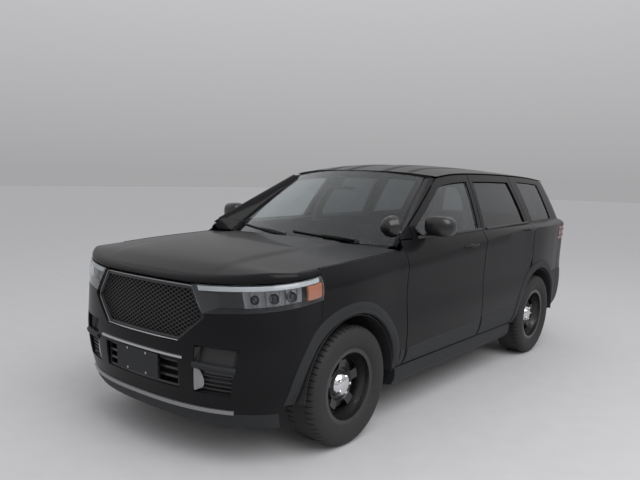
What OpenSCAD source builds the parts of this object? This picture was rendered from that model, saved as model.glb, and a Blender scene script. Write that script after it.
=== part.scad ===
// Police sport utility vehicle: a five-door patrol car with steel wheels and a pillar spotlight.
// Millimetres. +Z is up, the nose faces -Y, the car's left side is +X, the ground is z = 0.

/* [Overall size] */
// Length over the bumpers
length = 5050; // [4950:10:5150]
// Width over the body sides, without the mirrors
width = 2004; // [1970:2:2040]
// Height of the roof above the ground
height = 1767; // [1740:1:1800]
// Distance between the axles
wheelbase = 3025; // [2990:5:3060]
// Distance from the nose to the front axle
front_overhang = 872; // [860:2:890]
// Distance between the left and right wheel centres
track = 1700; // [1684:2:1710]

/* [Wheels] */
// Outer radius of the tyre
tyre_r = 381; // [372:1:386]
// Width of the tyre
tyre_w = 255; // [235:5:260]
// Radius of the wheel rim at its lip
rim_r = 241; // [230:1:246]
// Width of the wheel rim
rim_w = 210; // [190:2:220]
// Radius of the hub spindle that carries the wheel
spindle_r = 32; // [26:1:36]

/* [Body lines] */
// Height of the lower edge of the doors
door_low_z = 388; // [376:2:400]
// Height of the crease near the foot of the doors
crease_z = 650; // [630:5:680]
// Height of the shoulder line halfway along the car
shoulder_z = 1166; // [1150:2:1180]
// Rise of the shoulder line for each millimetre of length
shoulder_rise = 0.075; // [0.065:0.005:0.085]
// Height of the window sill halfway along the car
belt_z = 1256; // [1246:2:1266]
// Height of the roof's middle above its side edges
roof_crown = 63; // [54:1:72]
// Lean of the side windows, inward run for each unit of height
window_lean = 0.45; // [0.42:0.01:0.48]
// Radius of the wheel arch openings
arch_r = 462; // [456:1:468]
// Width of the moulding round each wheel arch
moulding_w = 76; // [66:2:84]
// Shut gap round the doors, hood and liftgate
shut_gap = 9; // [8.5:0.5:10]

/* [Doors] */
// Thickness of the doors
door_t = 85; // [76:1:90]
// Thickness of the window frames
frame_t = 38; // [30:1:42]
// Height of the window frame above and behind the glass
frame_w = 50; // [42:2:58]
// Length of the thin door edge ahead of the hinge line
hinge_set = 110; // [100:2:120]
// Depth of the hinge line below the widest part of the skin
hinge_depth = 25; // [24:0.5:26]
// Radius of the hinge pins
pin_r = 6; // [5:0.5:7]
// Thickness of the window glass
glass_t = 5; // [4:0.5:6]

/* [Fits] */
// Clearance of fixed pieces that seat on each other
seat_gap = 0.3; // [0.2:0.05:0.4]
// Running clearance on pins and spindles
pin_gap = 0.3; // [0.2:0.05:0.5]

/* [Hidden] */
$fn = 48;

paint = [0.13, 0.13, 0.15];
plastic = [0.22, 0.22, 0.23];
clear = [0.55, 0.65, 0.68, 0.5];

// Stations along the car
half_w = width / 2;
nose_y = -length / 2;
tail_y = length / 2;
axle_f = nose_y + front_overhang;
axle_r = axle_f + wheelbase;
axle_z = tyre_r;
cap_f = nose_y + 525;            // where the side turns into the rounded nose
cap_r = tail_y - 575;            // where the side turns into the rounded tail
cap_deg = 5;                     // wall length counted for each degree of a rounded end
cap_pow = 0.8;                   // squareness of the rounded ends
split_y = axle_f + 1780;         // line between the front and rear doors
door_a = axle_f + 613;           // leading edge of the front door
door_c = axle_r - 252;           // trailing edge of the rear door at the window sill
arch_out_r = arch_r + moulding_w;

// Smooth curve through a table of [place, value] rows
function slope(t, i) = let (a = max(i - 1, 0), b = min(i + 1, len(t) - 1))
    (t[b][1] - t[a][1]) / (t[b][0] - t[a][0]);
function row_of(t, x, i = 0) = i >= len(t) - 2 || x < t[i + 1][0] ? i : row_of(t, x, i + 1);
function curve(t, x) = let (
        i = row_of(t, x),
        h = t[i + 1][0] - t[i][0],
        s = max(0, min(1, (x - t[i][0]) / h)),
        r = 1 - s)
    t[i][1] * (1 + 2 * s) * r * r + slope(t, i) * h * s * r * r
    + t[i + 1][1] * s * s * (3 - 2 * s) - slope(t, i + 1) * h * s * s * r;
function mix(a, b, t) = a + (b - a) * t;

// Lines along the side, in tables of [station y, inset or share]
function belt(y) = belt_z + 0.014 * y;
function shoulder(y) = min(shoulder_z + shoulder_rise * y, belt(y) - 35);
plan_inset = [[cap_f, 40], [axle_f, 2], [axle_f + 520, 17], [0, 17], [axle_r - 450, 12],
    [axle_r, 2], [axle_r + 330, 22], [cap_r, 52]];
belt_inset = [[cap_f, 128], [axle_f, 112], [axle_f + 650, 88], [0, 73], [axle_r - 380, 80],
    [axle_r + 480, 118], [cap_r + 250, 150]];
rail_share = [[axle_f + 1350, 0.93], [axle_f + 1650, 0.985], [axle_f + 2000, 1],
    [axle_r - 500, 0.985], [axle_r + 200, 0.93], [axle_r + 700, 0.84], [tail_y - 300, 0.8]];
roof_top_y = axle_f + 2000;
rail_rise = height - belt(roof_top_y) - roof_crown;   // roof edge above the window sill
function rail(y) = belt(y) + rail_rise * curve(rail_share, y);
plate_t = 7;                     // the plate bracket stands this far ahead of the bumper
// Set-back of the nose and tail behind the bumpers' tips: [height, set-back]
nose_set = [[230, 85], [300, 34], [420, 20], [600, plate_t], [720, 16], [900, 34],
    [1045, 62], [1090, 90], [1180, 150]];
tail_set = [[330, 60], [450, 12], [600, 0], [740, 12], [790, 45], [900, 58], [1100, 80], [1260, 122],
    [height - 317, 212], [height - 147, 300], [height - 67, 345]];

// Half width of the body at station y and height z
function low_inset(y, z) = curve([[door_low_z - 60, 80], [door_low_z, 46], [door_low_z + 80, 14],
    [crease_z, 0], [crease_z + 210, 11], [shoulder(y), 3]], z);
function side_x(y, z) = let (zs = shoulder(y), zb = belt(y), dz = z - zb)
    z <= zs ? half_w - curve(plan_inset, y) - low_inset(y, z)
    : z <= zb ? mix(half_w - curve(plan_inset, y) - 3, half_w - curve(belt_inset, y),
        pow((z - zs) / (zb - zs), 1.5))
    : half_w - curve(belt_inset, y) - window_lean * dz - 0.00025 * dz * dz;
// Point of the body wall, d inside the skin. Between the rounded ends s is the station y;
// past cap_f and cap_r it counts degrees round the nose or tail.
function wall(s, z, d = 0) = let (
        front = s < cap_f,
        turn = front ? (cap_f - s) / cap_deg : max(0, s - cap_r) / cap_deg,
        foot = front ? cap_f : min(s, cap_r),
        reach = front ? curve(nose_set, z) + nose_y - cap_f : tail_y - curve(tail_set, z) - cap_r,
        bend = turn > 90 ? -1 : 1,
        w = side_x(foot, z))
    turn == 0 ? [w - d, s, z]
    : [bend * w * pow(abs(cos(turn)), cap_pow) - d * cos(turn),
        foot + reach * pow(sin(turn), cap_pow) - sign(reach) * d * sin(turn), z];
function cap_turn(x, z, foot) = acos(min(1, pow(x / side_x(foot, z), 1 / cap_pow)));

// Sheet of body metal between an outer and an inner grid of points, with only the kept cells
module sheet(outer, inner, keep = function (i, j) true) {
    rows = len(outer);
    cols = len(outer[0]);
    half = rows * cols;
    has = function (i, j) i >= 0 && j >= 0 && i < rows - 1 && j < cols - 1 && keep(i, j);
    cells = [for (i = [0 : rows - 2], j = [0 : cols - 2]) if (keep(i, j)) [i, j]];
    edge = function (a, b) [[a, b, b + half], [a, b + half, a + half]];
    faces = [for (c = cells) let (
            i = c[0], j = c[1],
            a = i * cols + j, b = a + 1, f = a + cols, e = f + 1)
        each concat(
            [[a, e, b], [a, f, e], [a + half, b + half, e + half], [a + half, e + half, f + half]],
            has(i - 1, j) ? [] : edge(a, b),
            has(i + 1, j) ? [] : edge(e, f),
            has(i, j - 1) ? [] : edge(f, a),
            has(i, j + 1) ? [] : edge(b, e))];
    polyhedron([for (g = [outer, inner], r = g) each r], faces, convexity = 8);
}
module both_sides() {
    children();
    mirror([1, 0, 0]) children();
}

// Front and rear door: edges, hinge line and rows
function lead_f(z) = door_a - 0.05 * (z - 567);
function split(z) = split_y + 0.33 * max(0, z - belt(split_y));
function arch_edge(z, r) = axle_r - sqrt(max(0, r * r - pow(z - axle_z, 2)));
function trail_r(z) = z - axle_z < arch_out_r
    ? min(door_c + 0.08 * (belt(door_c) - z), arch_edge(z, arch_out_r + shut_gap + 3))
    : door_c + 0.08 * (belt(door_c) - z);
pillar_y = axle_f + 668;
function pillar_line(y) = belt(pillar_y) + 60 + 0.5 * (y - pillar_y);
function frame_top(y) = min(rail(y) - shut_gap - 4, pillar_line(y));
hinge_f = [half_w - curve(plan_inset, door_a + hinge_set) - hinge_depth, lead_f(crease_z) + hinge_set];
hinge_r = [half_w - curve(plan_inset, split_y + hinge_set) - hinge_depth,
    split_y + shut_gap / 2 + hinge_set];
hinge_heights = [crease_z - 10, shoulder(hinge_f[1]) - 12];
belt_row = 8;
function door_rows(y, top) = let (zs = shoulder(y), zb = belt(y), mid = crease_z + 210)
    [door_low_z, door_low_z + 80, mix(door_low_z + 80, crease_z, 0.55), crease_z, crease_z + 90, mid,
    zs, mix(zs, zb, 0.5), zb, zb + 10, max(zb + 16, top - frame_w * 1.1), top];
// Column stations: front edge, two at the hinge line, shares of the rest, window edge, rear edge
door_shares = [0.12, 0.28, 0.44, 0.6, 0.76, 0.9];
function door_cols(lead, hinge, trail) = concat([lead, hinge + 12, hinge + 16, hinge + 70],
    [for (f = door_shares) mix(hinge + 70, trail - frame_w - 4, f)], [trail - frame_w - 4, trail]);
function lead_of(front, z) = front ? lead_f(z) : split(z) + shut_gap / 2;
function trail_of(front, z) = front ? split(z) - shut_gap / 2 : trail_r(z);
// Point of a door's grid; its inner face is bevelled at the rear and top edges. The columns of the
// rear door's window frame lean with its front edge
function door_point(front, i, j, inner) = let (
        hinge = (front ? hinge_f : hinge_r)[1],
        rough = door_cols(lead_of(front, belt_z), hinge, trail_of(front, belt_z))[j],
        z0 = door_rows(rough, frame_top(rough))[i],
        step = front || i <= belt_row ? hinge : lead_of(front, z0) + frame_w - 12,
        y0 = door_cols(lead_of(front, z0), step, trail_of(front, z0))[j],
        last = len(door_shares) + 5,
        z = door_rows(y0, frame_top(y0))[i],
        d = !inner ? 0 : i > belt_row ? frame_t : j < 2 ? 10 : door_t)
    wall(y0 - (inner && j == last ? 24 : 0), z - (inner && i == belt_row + 3 ? 10 : 0), d);
module door_shell(front) {
    grid = function (inner) [for (i = [0 : belt_row + 3])
        [for (j = [0 : len(door_shares) + 5]) door_point(front, i, j, inner)]];
    last = len(door_shares) + 4;
    first = front ? 2 : 0;
    sheet(grid(false), grid(true), function (i, j)
        i < belt_row || (j >= first && (i != belt_row + 1 || j < (front ? 3 : 2) || j >= last)));
}
module door_hinges(hinge) {
    for (z = hinge_heights)
        translate([hinge[0], hinge[1], z])
            difference() {
                union() {
                    cylinder(r = pin_r + 3, h = 30, center = true);
                    translate([-4, 0, -15]) cube([8, 24, 30]);
                }
                cylinder(r = pin_r + pin_gap, h = 40, center = true);
            }
}
module door(front) {
    color(paint) door_shell(front);
    color("dimgray") door_hinges(front ? hinge_f : hinge_r);
}
module door_front_left() { door(true); }
module door_front_right() { mirror([1, 0, 0]) door(true); }
module door_rear_left() { door(false); }
module door_rear_right() { mirror([1, 0, 0]) door(false); }

// Hood edge along the top of the fender: [station y, height]
hood_edge = [[cap_f - 140, 1130], [axle_f, 1158], [axle_f + 650, 1186]];
fender_y = cap_f + 50;
fender_t = 10;
fender_shares = [0, 0.14, 0.36, 0.58, 0.78, 0.91, 1];
// Angle round an arch, from its front foot, at which the arch's outer edge has height z
function arch_deg(z) = asin((z - axle_z) / arch_out_r);
fender_deg = acos((axle_f - fender_y) / arch_out_r);
fender_arch = [for (k = [0 : 10]) mix(fender_deg, 178, k / 10)];
// Rise of the fender's rear end beside the windshield pillar
function ear(y) = 44 * max(0, min(1, (y - axle_f - arch_out_r) / (door_a - axle_f - arch_out_r)));
module fenders() {
    // Columns by angle round the arch, then back to the door
    stations = concat([for (a = fender_arch) [axle_f - arch_out_r * cos(a), axle_z + arch_out_r * sin(a)]],
        [for (f = [0.3, 0.65, 1]) [mix(axle_f + arch_out_r, door_a, f), door_low_z]]);
    edge = function (y, z) y > axle_f + arch_out_r + 1 ? mix(y, lead_f(z) - shut_gap - 1,
        (y - axle_f - arch_out_r) / (door_a - axle_f - arch_out_r)) : y;
    grid = function (d) [for (f = fender_shares) [for (p = stations) let (
            low = max(p[1], door_low_z) + (f == 0 ? seat_gap : 0),
            z = mix(low, curve(hood_edge, p[0]) + ear(p[0]), f))
        wall(edge(p[0], z), z, d)]];
    color(paint) both_sides() sheet(grid(0), grid(fender_t));
}

// Windshield, from its foot to its top edge; s runs from -1 to 1 across the car
shield_foot = [half_w - 205, axle_f + 655, 1192];
shield_top = [half_w - 387, axle_f + 1353, height - 108];
function shield(s, t, d = 0) = let (
        b = 1 - s * s,
        foot = [shield_foot[0] * s, shield_foot[1] - 190 * b, shield_foot[2] + 10 * b],
        top = [shield_top[0] * s, shield_top[1] - 100 * b, shield_top[2] + 40 * b],
        p = mix(foot, top, t))
    p + [0, -0.55, 0.83] * (14 * sin(180 * t) - d);
shield_rows = [0, 0.13, 0.25, 0.4, 0.6, 0.8, 0.95];
cross = [-1, -0.85, -0.65, -0.4, -0.15, 0.15, 0.4, 0.65, 0.85, 1];
module windshield() {
    grid = function (d) [for (t = concat(shield_rows, [1])) [for (s = cross) shield(s, t, d)]];
    color(clear) sheet(grid(0), grid(glass_t));
}

// Hood: rises from the nose, crowned across, with two long creases
hood_line = [[nose_y + 62, 1068], [nose_y + 125, 1100], [nose_y + 275, 1146], [nose_y + 525, 1178],
    [axle_f, 1200], [axle_f + 500, 1222]];
hood_half = [-1, -0.97, -0.9, -0.8, -0.68, -0.58, -0.5, -0.3, 0, 0.3, 0.5, 0.58, 0.68, 0.8, 0.9, 0.97, 1];
function bulge(s) = 10 * max(0, min(1, (0.6 - abs(s)) / 0.08));
function hood_point(s, t, d) = let (
        x1 = abs(s) * (half_w - 80),
        turn = cap_turn(x1, 1090, cap_f),
        y1 = wall(cap_f - turn * cap_deg, 1090)[1] + 12,
        y2 = shield_foot[1] - 105 - 190 * (1 - s * s),
        y = mix(y1, y2, t),
        edge = side_x(max(y, cap_f - 140), curve(hood_edge, y)) - fender_t - shut_gap,
        x = min(edge, half_w - 80) * s,
        crown = curve(hood_line, y) - curve(hood_edge, y))
    [x, y, curve(hood_line, y) - max(20, crown) * pow(abs(s), 2.2) + bulge(s) * sin(180 * min(0.5, t)) - d];
module hood() {
    grid = function (d) [for (t = [0, 0.04, 0.12, 0.24, 0.4, 0.6, 0.8, 0.94, 1])
        [for (s = hood_half) hood_point(s, t, d)]];
    color(paint) {
        sheet(grid(0), grid(16));
        both_sides() hood_hinges();
    }
}

// Roof panel with lengthwise ribs
crown_line = [[axle_f + 1250, 41], [axle_f + 1550, 60], [axle_f + 1950, roof_crown], [axle_f + 2550, 54],
    [axle_r + 130, 38], [axle_r + 730, 20]];
roof_half = [-1, -0.88, -0.76, -0.73, -0.67, -0.64, -0.46, -0.43, -0.37, -0.34, -0.16, -0.13, 0,
    0.13, 0.16, 0.34, 0.37, 0.43, 0.46, 0.64, 0.67, 0.73, 0.76, 0.88, 1];
roof_end = tail_y - 415;
roof_half_w = side_x(shield_top[1], rail(shield_top[1]));
roof_rows = [0.03, 0.15, 0.3, 0.45, 0.6, 0.7, 0.8, 0.9, 0.97];
roof_lip = [0.9925, 0.994];       // where the roof steps down to its rear gutter
gutter = 16;                     // depth of that step
roof_t = 30;                     // depth of the roof with its ribs and lining
function rib(s) = let (a = abs(s)) (a > 0.72 && a < 0.74) || (a > 0.66 && a < 0.68) ? -9
    : (a > 0.36 && a < 0.44) ? -9 : a < 0.14 ? -9 : 0;
function roof_point(s, t, d) = let (
        y1 = shield(s * roof_half_w / shield_top[0], 1)[1] + shut_gap,
        y = mix(y1, roof_end - 40 * s * s, t),
        x = side_x(y, rail(y)) * s,
        drop = t > roof_lip[0] && abs(s) < 0.9 ? gutter : 0,
        ribbed = t > 0 && t <= roof_rows[len(roof_rows) - 1],
        depth = d == 0 ? 0 : abs(s) > 0.95 ? 4 : d - drop)
    [x, y, rail(y) + curve(crown_line, y) * (1 - pow(abs(s), 2.6)) + (ribbed ? rib(s) : 0) - drop - depth];
module roof_panel() {
    rows = concat([0], roof_rows, roof_lip, [1]);
    grid = function (d) [for (t = rows) [for (s = roof_half) roof_point(s, t, d)]];
    color(paint) {
        sheet(grid(0), grid(roof_t));
        both_sides() gate_brackets();
    }
}
// Brackets under the roof's rear edge, with the pins that carry the liftgate
gate_pin_r = 4;
gate_knuckle_w = 40;
module gate_brackets() {
    translate(gate_hinge) rotate([90, 0, 90]) {
        for (x = [-1, 1])
            translate([0, 0, x * (gate_knuckle_w / 2 + 6) - 4]) linear_extrude(8) polygon([[-80, -30],
                [6, -30], [6, 4.5], [-6, 4.5], [-14, -18], [-60, -18], [-60, -6], [-80, -4]]);
        translate([0, 0, -gate_knuckle_w / 2 - 8]) cylinder(r = gate_pin_r, h = gate_knuckle_w + 16);
    }
}

// Quarter panel round the rear arch to the liftgate, with the side window and lamp cut out
bumper_r_top = 780;
gate_turn = 45;
gate_gap = 2 * shut_gap;         // gap beside the liftgate, counted along the wall
lamp_r = [cap_r - 55, 1085, 1218];      // station of the tail lamp's front end, its foot and top
quarter_arch = [for (k = [0 : 5]) mix(64, 180 - arch_deg(bumper_r_top), k / 5)];
function quarter_stations() = concat(
    [for (a = quarter_arch) axle_r - arch_out_r * cos(a)],
    [axle_r + 440, lamp_r[0]],
    [for (f = [0.25, 0.5, 0.75, 1]) cap_r + gate_turn * cap_deg * f - (f == 1 ? gate_gap : 0)]);
function quarter_low(y) = y < axle_r - arch_out_r * cos(quarter_arch[5]) + 1
    ? axle_z + sqrt(pow(arch_out_r, 2) - pow(y - axle_r, 2)) + seat_gap : bumper_r_top + seat_gap;
function quarter_rows(s) = let (
        y = s < cap_r ? s : wall(s, rail(cap_r))[1],
        b = quarter_low(y), zb = max(belt(y), b + 100))
    [b, mix(b, lamp_r[1], 0.4), mix(b, lamp_r[1], 0.75), lamp_r[1], lamp_r[2], zb, zb + 14,
    rail(y) - frame_w * 1.2, rail(y) - 12];
module quarter_panels() {
    edge = function (j, y, z) j == 0 ? trail_r(z) + shut_gap : y;
    stations = quarter_stations();
    last = len(stations) - 1;
    grid = function (d) [for (i = [0 : 8]) [for (j = [0 : last]) let (z = quarter_rows(stations[j])[i])
        wall(edge(j, stations[j], z), z - (i == 8 ? d * 0.4 : 0), d)]];
    color(paint) both_sides() sheet(grid(0), grid(24), function (i, j)
        !(i == 6 && j > 0 && j < 6) && !(i == 3 && j > 6));
}

// Full-width row from its left half, which ends on the centre line
function full(half) = concat(half, [for (k = [len(half) - 2 : -1 : 0])
    [-half[k][0], half[k][1], half[k][2]]]);
// Wall place of station y on the rounded nose or tail at height z
function nose_place(y, z) = y >= cap_f ? y
    : cap_f - cap_deg * asin(pow((cap_f - y) / (cap_f - nose_y - curve(nose_set, z)), 1 / cap_pow));
function tail_place(y, z) = y <= cap_r ? y
    : cap_r + cap_deg * asin(pow((y - cap_r) / (tail_y - curve(tail_set, z) - cap_r), 1 / cap_pow));

// Front bumper cover with the grille, lower grille and corner vents cut out
grille_edge = [[440, 350], [600, 350], [712, 335], [870, 520], [1046, 405]]; // [height, half width]
bumper_rows = [235, 300, axle_z, 440, 600, 712, axle_z + arch_out_r * sin(fender_deg), 870];
bumper_shares = [0, 0.22, 0.4, 0.56, 0.72, 0.88];
bumper_top = [893, 965];                // height of the top edge at the grille and at the fender
function grille_turn(z) = cap_turn(lookup(z, grille_edge), z, cap_f);
function bumper_end(z) = let (r = arch_out_r, h = z - axle_z, y = axle_f - sqrt(max(0, r * r - h * h)))
    nose_place(min(fender_y, y) - seat_gap, z);
function bumper_half(z, d) = concat(
    [for (f = bumper_shares) wall(mix(bumper_end(z), cap_f - cap_deg * grille_turn(z), f), z, d)],
    [for (f = [0, 0.5, 1]) wall(cap_f - cap_deg * mix(grille_turn(z), 90, f), z, d)]);
function bumper_top_half(d) = let (n = len(bumper_shares)) [for (k = [0 : n + 2]) let (
        f = k < n ? bumper_shares[k] : 1,
        z = mix(bumper_top[1], bumper_top[0], f))
    bumper_half(z, d)[k]];
module front_bumper() {
    grid = function (d) concat([for (z = bumper_rows) full(bumper_half(z, d))], [full(bumper_top_half(d))]);
    n = len(bumper_shares);
    last = 2 * (n + 2) - 1;
    keep = function (i, j) let (k = min(j, last - j), z = bumper_rows[i])
        !(k >= n && (z == 440 || z >= 712)) && !((z == 440 || z == 600) && k >= 3 && k < 5);
    color(paint) sheet_back(grid(0), grid(14), keep);
}

// Diamond mesh grille: a bowed mesh behind a bowed hexagon frame
grille_corners = [[335, 712], [520, 870], [405, 1046]];   // [half width, height]
grille_tilt = 7;
bow_r = 2500;                    // radius of the bow across the car
frame_in = 26;                   // width of the hexagon frame
frame_at = [12, 20];             // set-back and depth of the frame
mesh_at = [20, 9];               // set-back and depth of the mesh
mesh_pitch = [66, 44];           // width and height of one opening with its bars
mesh_bar = 9;
module grille_outline(inset) {
    n = len(grille_corners);
    offset(delta = -inset) polygon(concat(grille_corners,
        [for (k = [n - 1 : -1 : 0]) [-grille_corners[k][0], grille_corners[k][1]]]));
}
// Half width of the opening at height z, and whether a point lies well inside it
function grille_half(z) = lookup(z, [for (p = grille_corners) [p[1], p[0]]]);
function in_grille(x, z, inset) = z > grille_corners[0][1] + inset && z < grille_corners[2][1] - inset
    && abs(x) < grille_half(z) - 1.3 * inset;
module mesh_openings() {
    middle = mix(grille_corners[0][1], grille_corners[2][1], 0.5);
    reach = [floor(grille_corners[1][0] / mesh_pitch[0]) * 2, 9];
    w = mesh_pitch[0] / 2 - mesh_bar * 0.9;
    h = mesh_pitch[1] / 2 - mesh_bar * 0.6;
    intersection() {
        grille_outline(frame_in + 1);
        for (i = [-reach[0] : reach[0]], j = [-reach[1] : reach[1]]) {
            x = i * mesh_pitch[0] / 2;
            z = middle + j * mesh_pitch[1] / 2;
            if ((i + j) % 2 == 0 && in_grille(x, z, frame_in + 4))
                translate([x, z]) polygon([[w, 0], [0, h], [-w, 0], [0, -h]]);
        }
    }
}
// What lies between two bowed faces, cut to an outline that is drawn in the front view
module bowed(at) {
    intersection() {
        translate([0, nose_y + at[0] + bow_r, 0]) difference() {
            cylinder(r = bow_r, h = 1200, $fn = 200);
            translate([0, 0, -1]) cylinder(r = bow_r - at[1], h = 1202, $fn = 200);
        }
        translate([0, nose_y + 200, 0]) rotate([90, 0, 0]) linear_extrude(220) children();
    }
}
module grille() {
    low = grille_corners[0][1];
    color("black")
    translate([0, nose_y + 14, low]) rotate([-grille_tilt, 0, 0]) translate([0, -nose_y, -low]) {
        bowed(frame_at) difference() {
            grille_outline(3.2);
            grille_outline(frame_in);
        }
        bowed(mesh_at) difference() {
            grille_outline(frame_in / 2);
            mesh_openings();
        }
    }
}

// Lower grille: bowed slats in the bumper's lower opening
lower_half = 344;
lower_z = [440, 600];            // the opening's foot and top
lower_at = [plate_t + 16, 12];   // set-back and depth of the slats
slat_count = 4;
slat_t = 14;
module lower_grille() {
    low = lower_z[0] + 3 * seat_gap;
    high = lower_z[1] - 3 * seat_gap;
    step = (high - low - slat_t) / (slat_count - 1);
    color("black") bowed(lower_at) {
        for (k = [0 : slat_count - 1])
            translate([-lower_half, low + k * step]) square([2 * lower_half, slat_t]);
        for (x = [-lower_half, -lower_half / 2, lower_half / 2 - slat_t, lower_half - slat_t])
            translate([x, low]) square([slat_t, high - low]);
    }
}

// Corner vents: a pocket behind each corner opening of the bumper, with a cross bar
vent_rows = [432, 456, 545, 575, 690, 720];
vent_shares = [0.54, 0.58, 0.72, 0.86, 0.9];
vent_rim = [18.4, 17.6];         // depth of the rim behind the skin, left and right
vent_depth = 58;                 // depth of the pocket's back
vent_t = 6;
module corner_vents() {
    last = len(vent_shares) - 1;
    top = len(vent_rows) - 1;
    depth = function (i, j, rim) i == 0 || i == top || j == 0 || j == last ? rim
        : i == 2 || i == 3 ? mix(rim, vent_depth, 0.3) : vent_depth;
    grid = function (rim, t) [for (i = [0 : top]) [for (j = [0 : last]) let (z = vent_rows[i])
        wall(mix(bumper_end(z), cap_f - cap_deg * grille_turn(z), vent_shares[j]), z, depth(i, j, rim) + t)]];
    // The bumper's cells are split one way all across, so each side has its own depth of rim
    color("black") {
        sheet_back(grid(vent_rim[0], 0), grid(vent_rim[0], vent_t));
        mirror([1, 0, 0]) sheet_back(grid(vent_rim[1], 0), grid(vent_rim[1], vent_t));
    }
}

// Headlamps: a clear cover over a deep bowl with two round lamp units
lamp_shares = concat(bumper_shares, [1]);
function lamp_low(f) = mix(bumper_top[1], bumper_top[0], f) + 2 * seat_gap;
function lamp_high(f) = mix(1105, 1046, pow(f, 0.8));
function lamp_point(f, g, d) = let (
        z = mix(lamp_low(f), lamp_high(f), g),
        first = nose_place(fender_y - seat_gap, z),
        last = cap_f - cap_deg * (grille_turn(z) - 0.2))
    wall(mix(first, last, f), z, d);
lamp_rows = [0, 0.14, 0.86, 1];
module headlamp_lenses() {
    grid = function (d) [for (g = lamp_rows) [for (f = lamp_shares) lamp_point(f, g, d)]];
    color(clear) both_sides() sheet_back(grid(0), grid(glass_t));
}
module headlamps() {
    last = len(lamp_shares) - 1;
    bowl = function (i, j) i > 0 && i < 3 && j > 0 && j < last ? 62 : glass_t + seat_gap;
    outer = [for (i = [0 : 3]) [for (j = [0 : last]) lamp_point(lamp_shares[j], lamp_rows[i], bowl(i, j))]];
    inner = [for (i = [0 : 3]) [for (j = [0 : last]) lamp_point(lamp_shares[j], lamp_rows[i],
        i > 0 && i < 3 && j > 0 && j < last ? 80 : glass_t + 20)]];
    color("gray") both_sides() sheet_back(outer, inner);
}

// Rear bumper cover, tail lamps and liftgate
rear_rows = [330, axle_z, 430, 560, 690, bumper_r_top];
function rear_end(z) = let (run = sqrt(max(0, pow(arch_out_r, 2) - pow(z - axle_z, 2))))
    tail_place(axle_r + run + seat_gap, z);
module rear_bumper() {
    grid = function (d) [for (z = rear_rows) full([for (f = [0, 0.2, 0.4, 0.6, 0.8, 1])
        wall(mix(rear_end(z), cap_r + 90 * cap_deg, f), z, d)])];
    color(plastic) sheet(grid(0), grid(16));
}
// The tail's columns run the other way round, so the two grids trade places in winding
module sheet_back(outer, inner, keep = function (i, j) true) {
    flip = function (g) [for (r = g) [for (k = [len(r) - 1 : -1 : 0]) r[k]]];
    n = len(outer[0]) - 2;
    sheet(flip(outer), flip(inner), function (i, j) keep(i, n - j));
}
module tail_lamps() {
    ends = [lamp_r[0] + seat_gap, cap_r + gate_turn * cap_deg - gate_gap];
    rows = [lamp_r[1] + seat_gap, mix(lamp_r[1], lamp_r[2], 0.5), lamp_r[2] - seat_gap];
    grid = function (d) [for (z = rows)
        [for (f = [0, 0.2, 0.4, 0.6, 0.8, 1]) wall(mix(ends[0], ends[1], f), z, d)]];
    color("firebrick") both_sides() sheet(grid(-1), grid(30));
}

// Liftgate: one folded sheet from its foot up the tail, out to the spoiler's tip and back to the roof
gate_front = roof_end + 22;
gate_tip = tail_y - 190;
gate_rows = [bumper_r_top + shut_gap + 6, 900, 1010, lamp_r[1] + 25, lamp_r[2], lamp_r[2] + 72,
    height - 207];
gate_turns = [gate_turn, 50, 58, 67, 78, 90];
function roof_z(x, y) = let (s = min(1, abs(x) / side_x(y, rail(y))))
    rail(y) + curve(crown_line, y) * (1 - pow(s, 2.6));
function gate_place(turn) = cap_r + turn * cap_deg;
// Upper rows of the gate at a column: top of the wall, spoiler tip and front edge, outer or inner
function gate_upper(turn, inner) = let (
        p = wall(gate_place(turn), height - 132),
        x = p[0] * 0.985,
        bow = 40 * pow(x / 520, 2))
    inner ? [[x, p[1] - 40, roof_z(x, gate_tip) - 30], [x, gate_tip - bow - 12, roof_z(x, gate_tip) - 17],
        [x, gate_front - bow * 0.5 + 3, roof_z(x, gate_front) - 3]]
    : [[x, p[1], roof_z(x, gate_tip) - 40], [x, gate_tip - bow, roof_z(x, gate_tip) - 14],
        [x, gate_front - bow * 0.5, roof_z(x, gate_front)]];
function gate_depth(i) = i < 5 ? 60 : 40;
function gate_grid(inner) = let (
        low = [for (i = [0 : len(gate_rows) - 1]) [for (a = gate_turns)
            wall(gate_place(a), gate_rows[i], inner ? gate_depth(i) : 0)]],
        up = [for (k = [0 : 2]) [for (a = gate_turns) gate_upper(a, inner)[k]]])
    [for (r = concat(low, up)) full(r)];
gate_hinge = [380, gate_front - 17, roof_z(380, gate_front) - 11];
module liftgate() {
    last = 2 * (len(gate_turns) - 1) - 1;
    color(paint) sheet(gate_grid(false), gate_grid(true), function (i, j) !(i == 5 && j > 0 && j < last));
    color("dimgray") both_sides() translate(gate_hinge) difference() {
        union() {
            rotate([0, 90, 0]) cylinder(r = 7, h = gate_knuckle_w, center = true);
            translate([-gate_knuckle_w / 2, 0, -7]) cube([gate_knuckle_w, 36, 13]);
        }
        rotate([0, 90, 0]) cylinder(r = gate_pin_r + pin_gap, h = gate_knuckle_w + 10, center = true);
    }
}
module liftgate_glass() {
    n = len(gate_turns);
    rows = [gate_rows[5] + seat_gap, gate_rows[6] - seat_gap];
    turns = [for (k = [1 : n - 1]) gate_turns[k] + (k == 1 ? 0.1 : 0)];
    grid = function (d) [for (z = rows) full([for (a = turns) wall(gate_place(a), z, d)])];
    color(clear) sheet(grid(12), grid(12 + glass_t));
}

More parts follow.
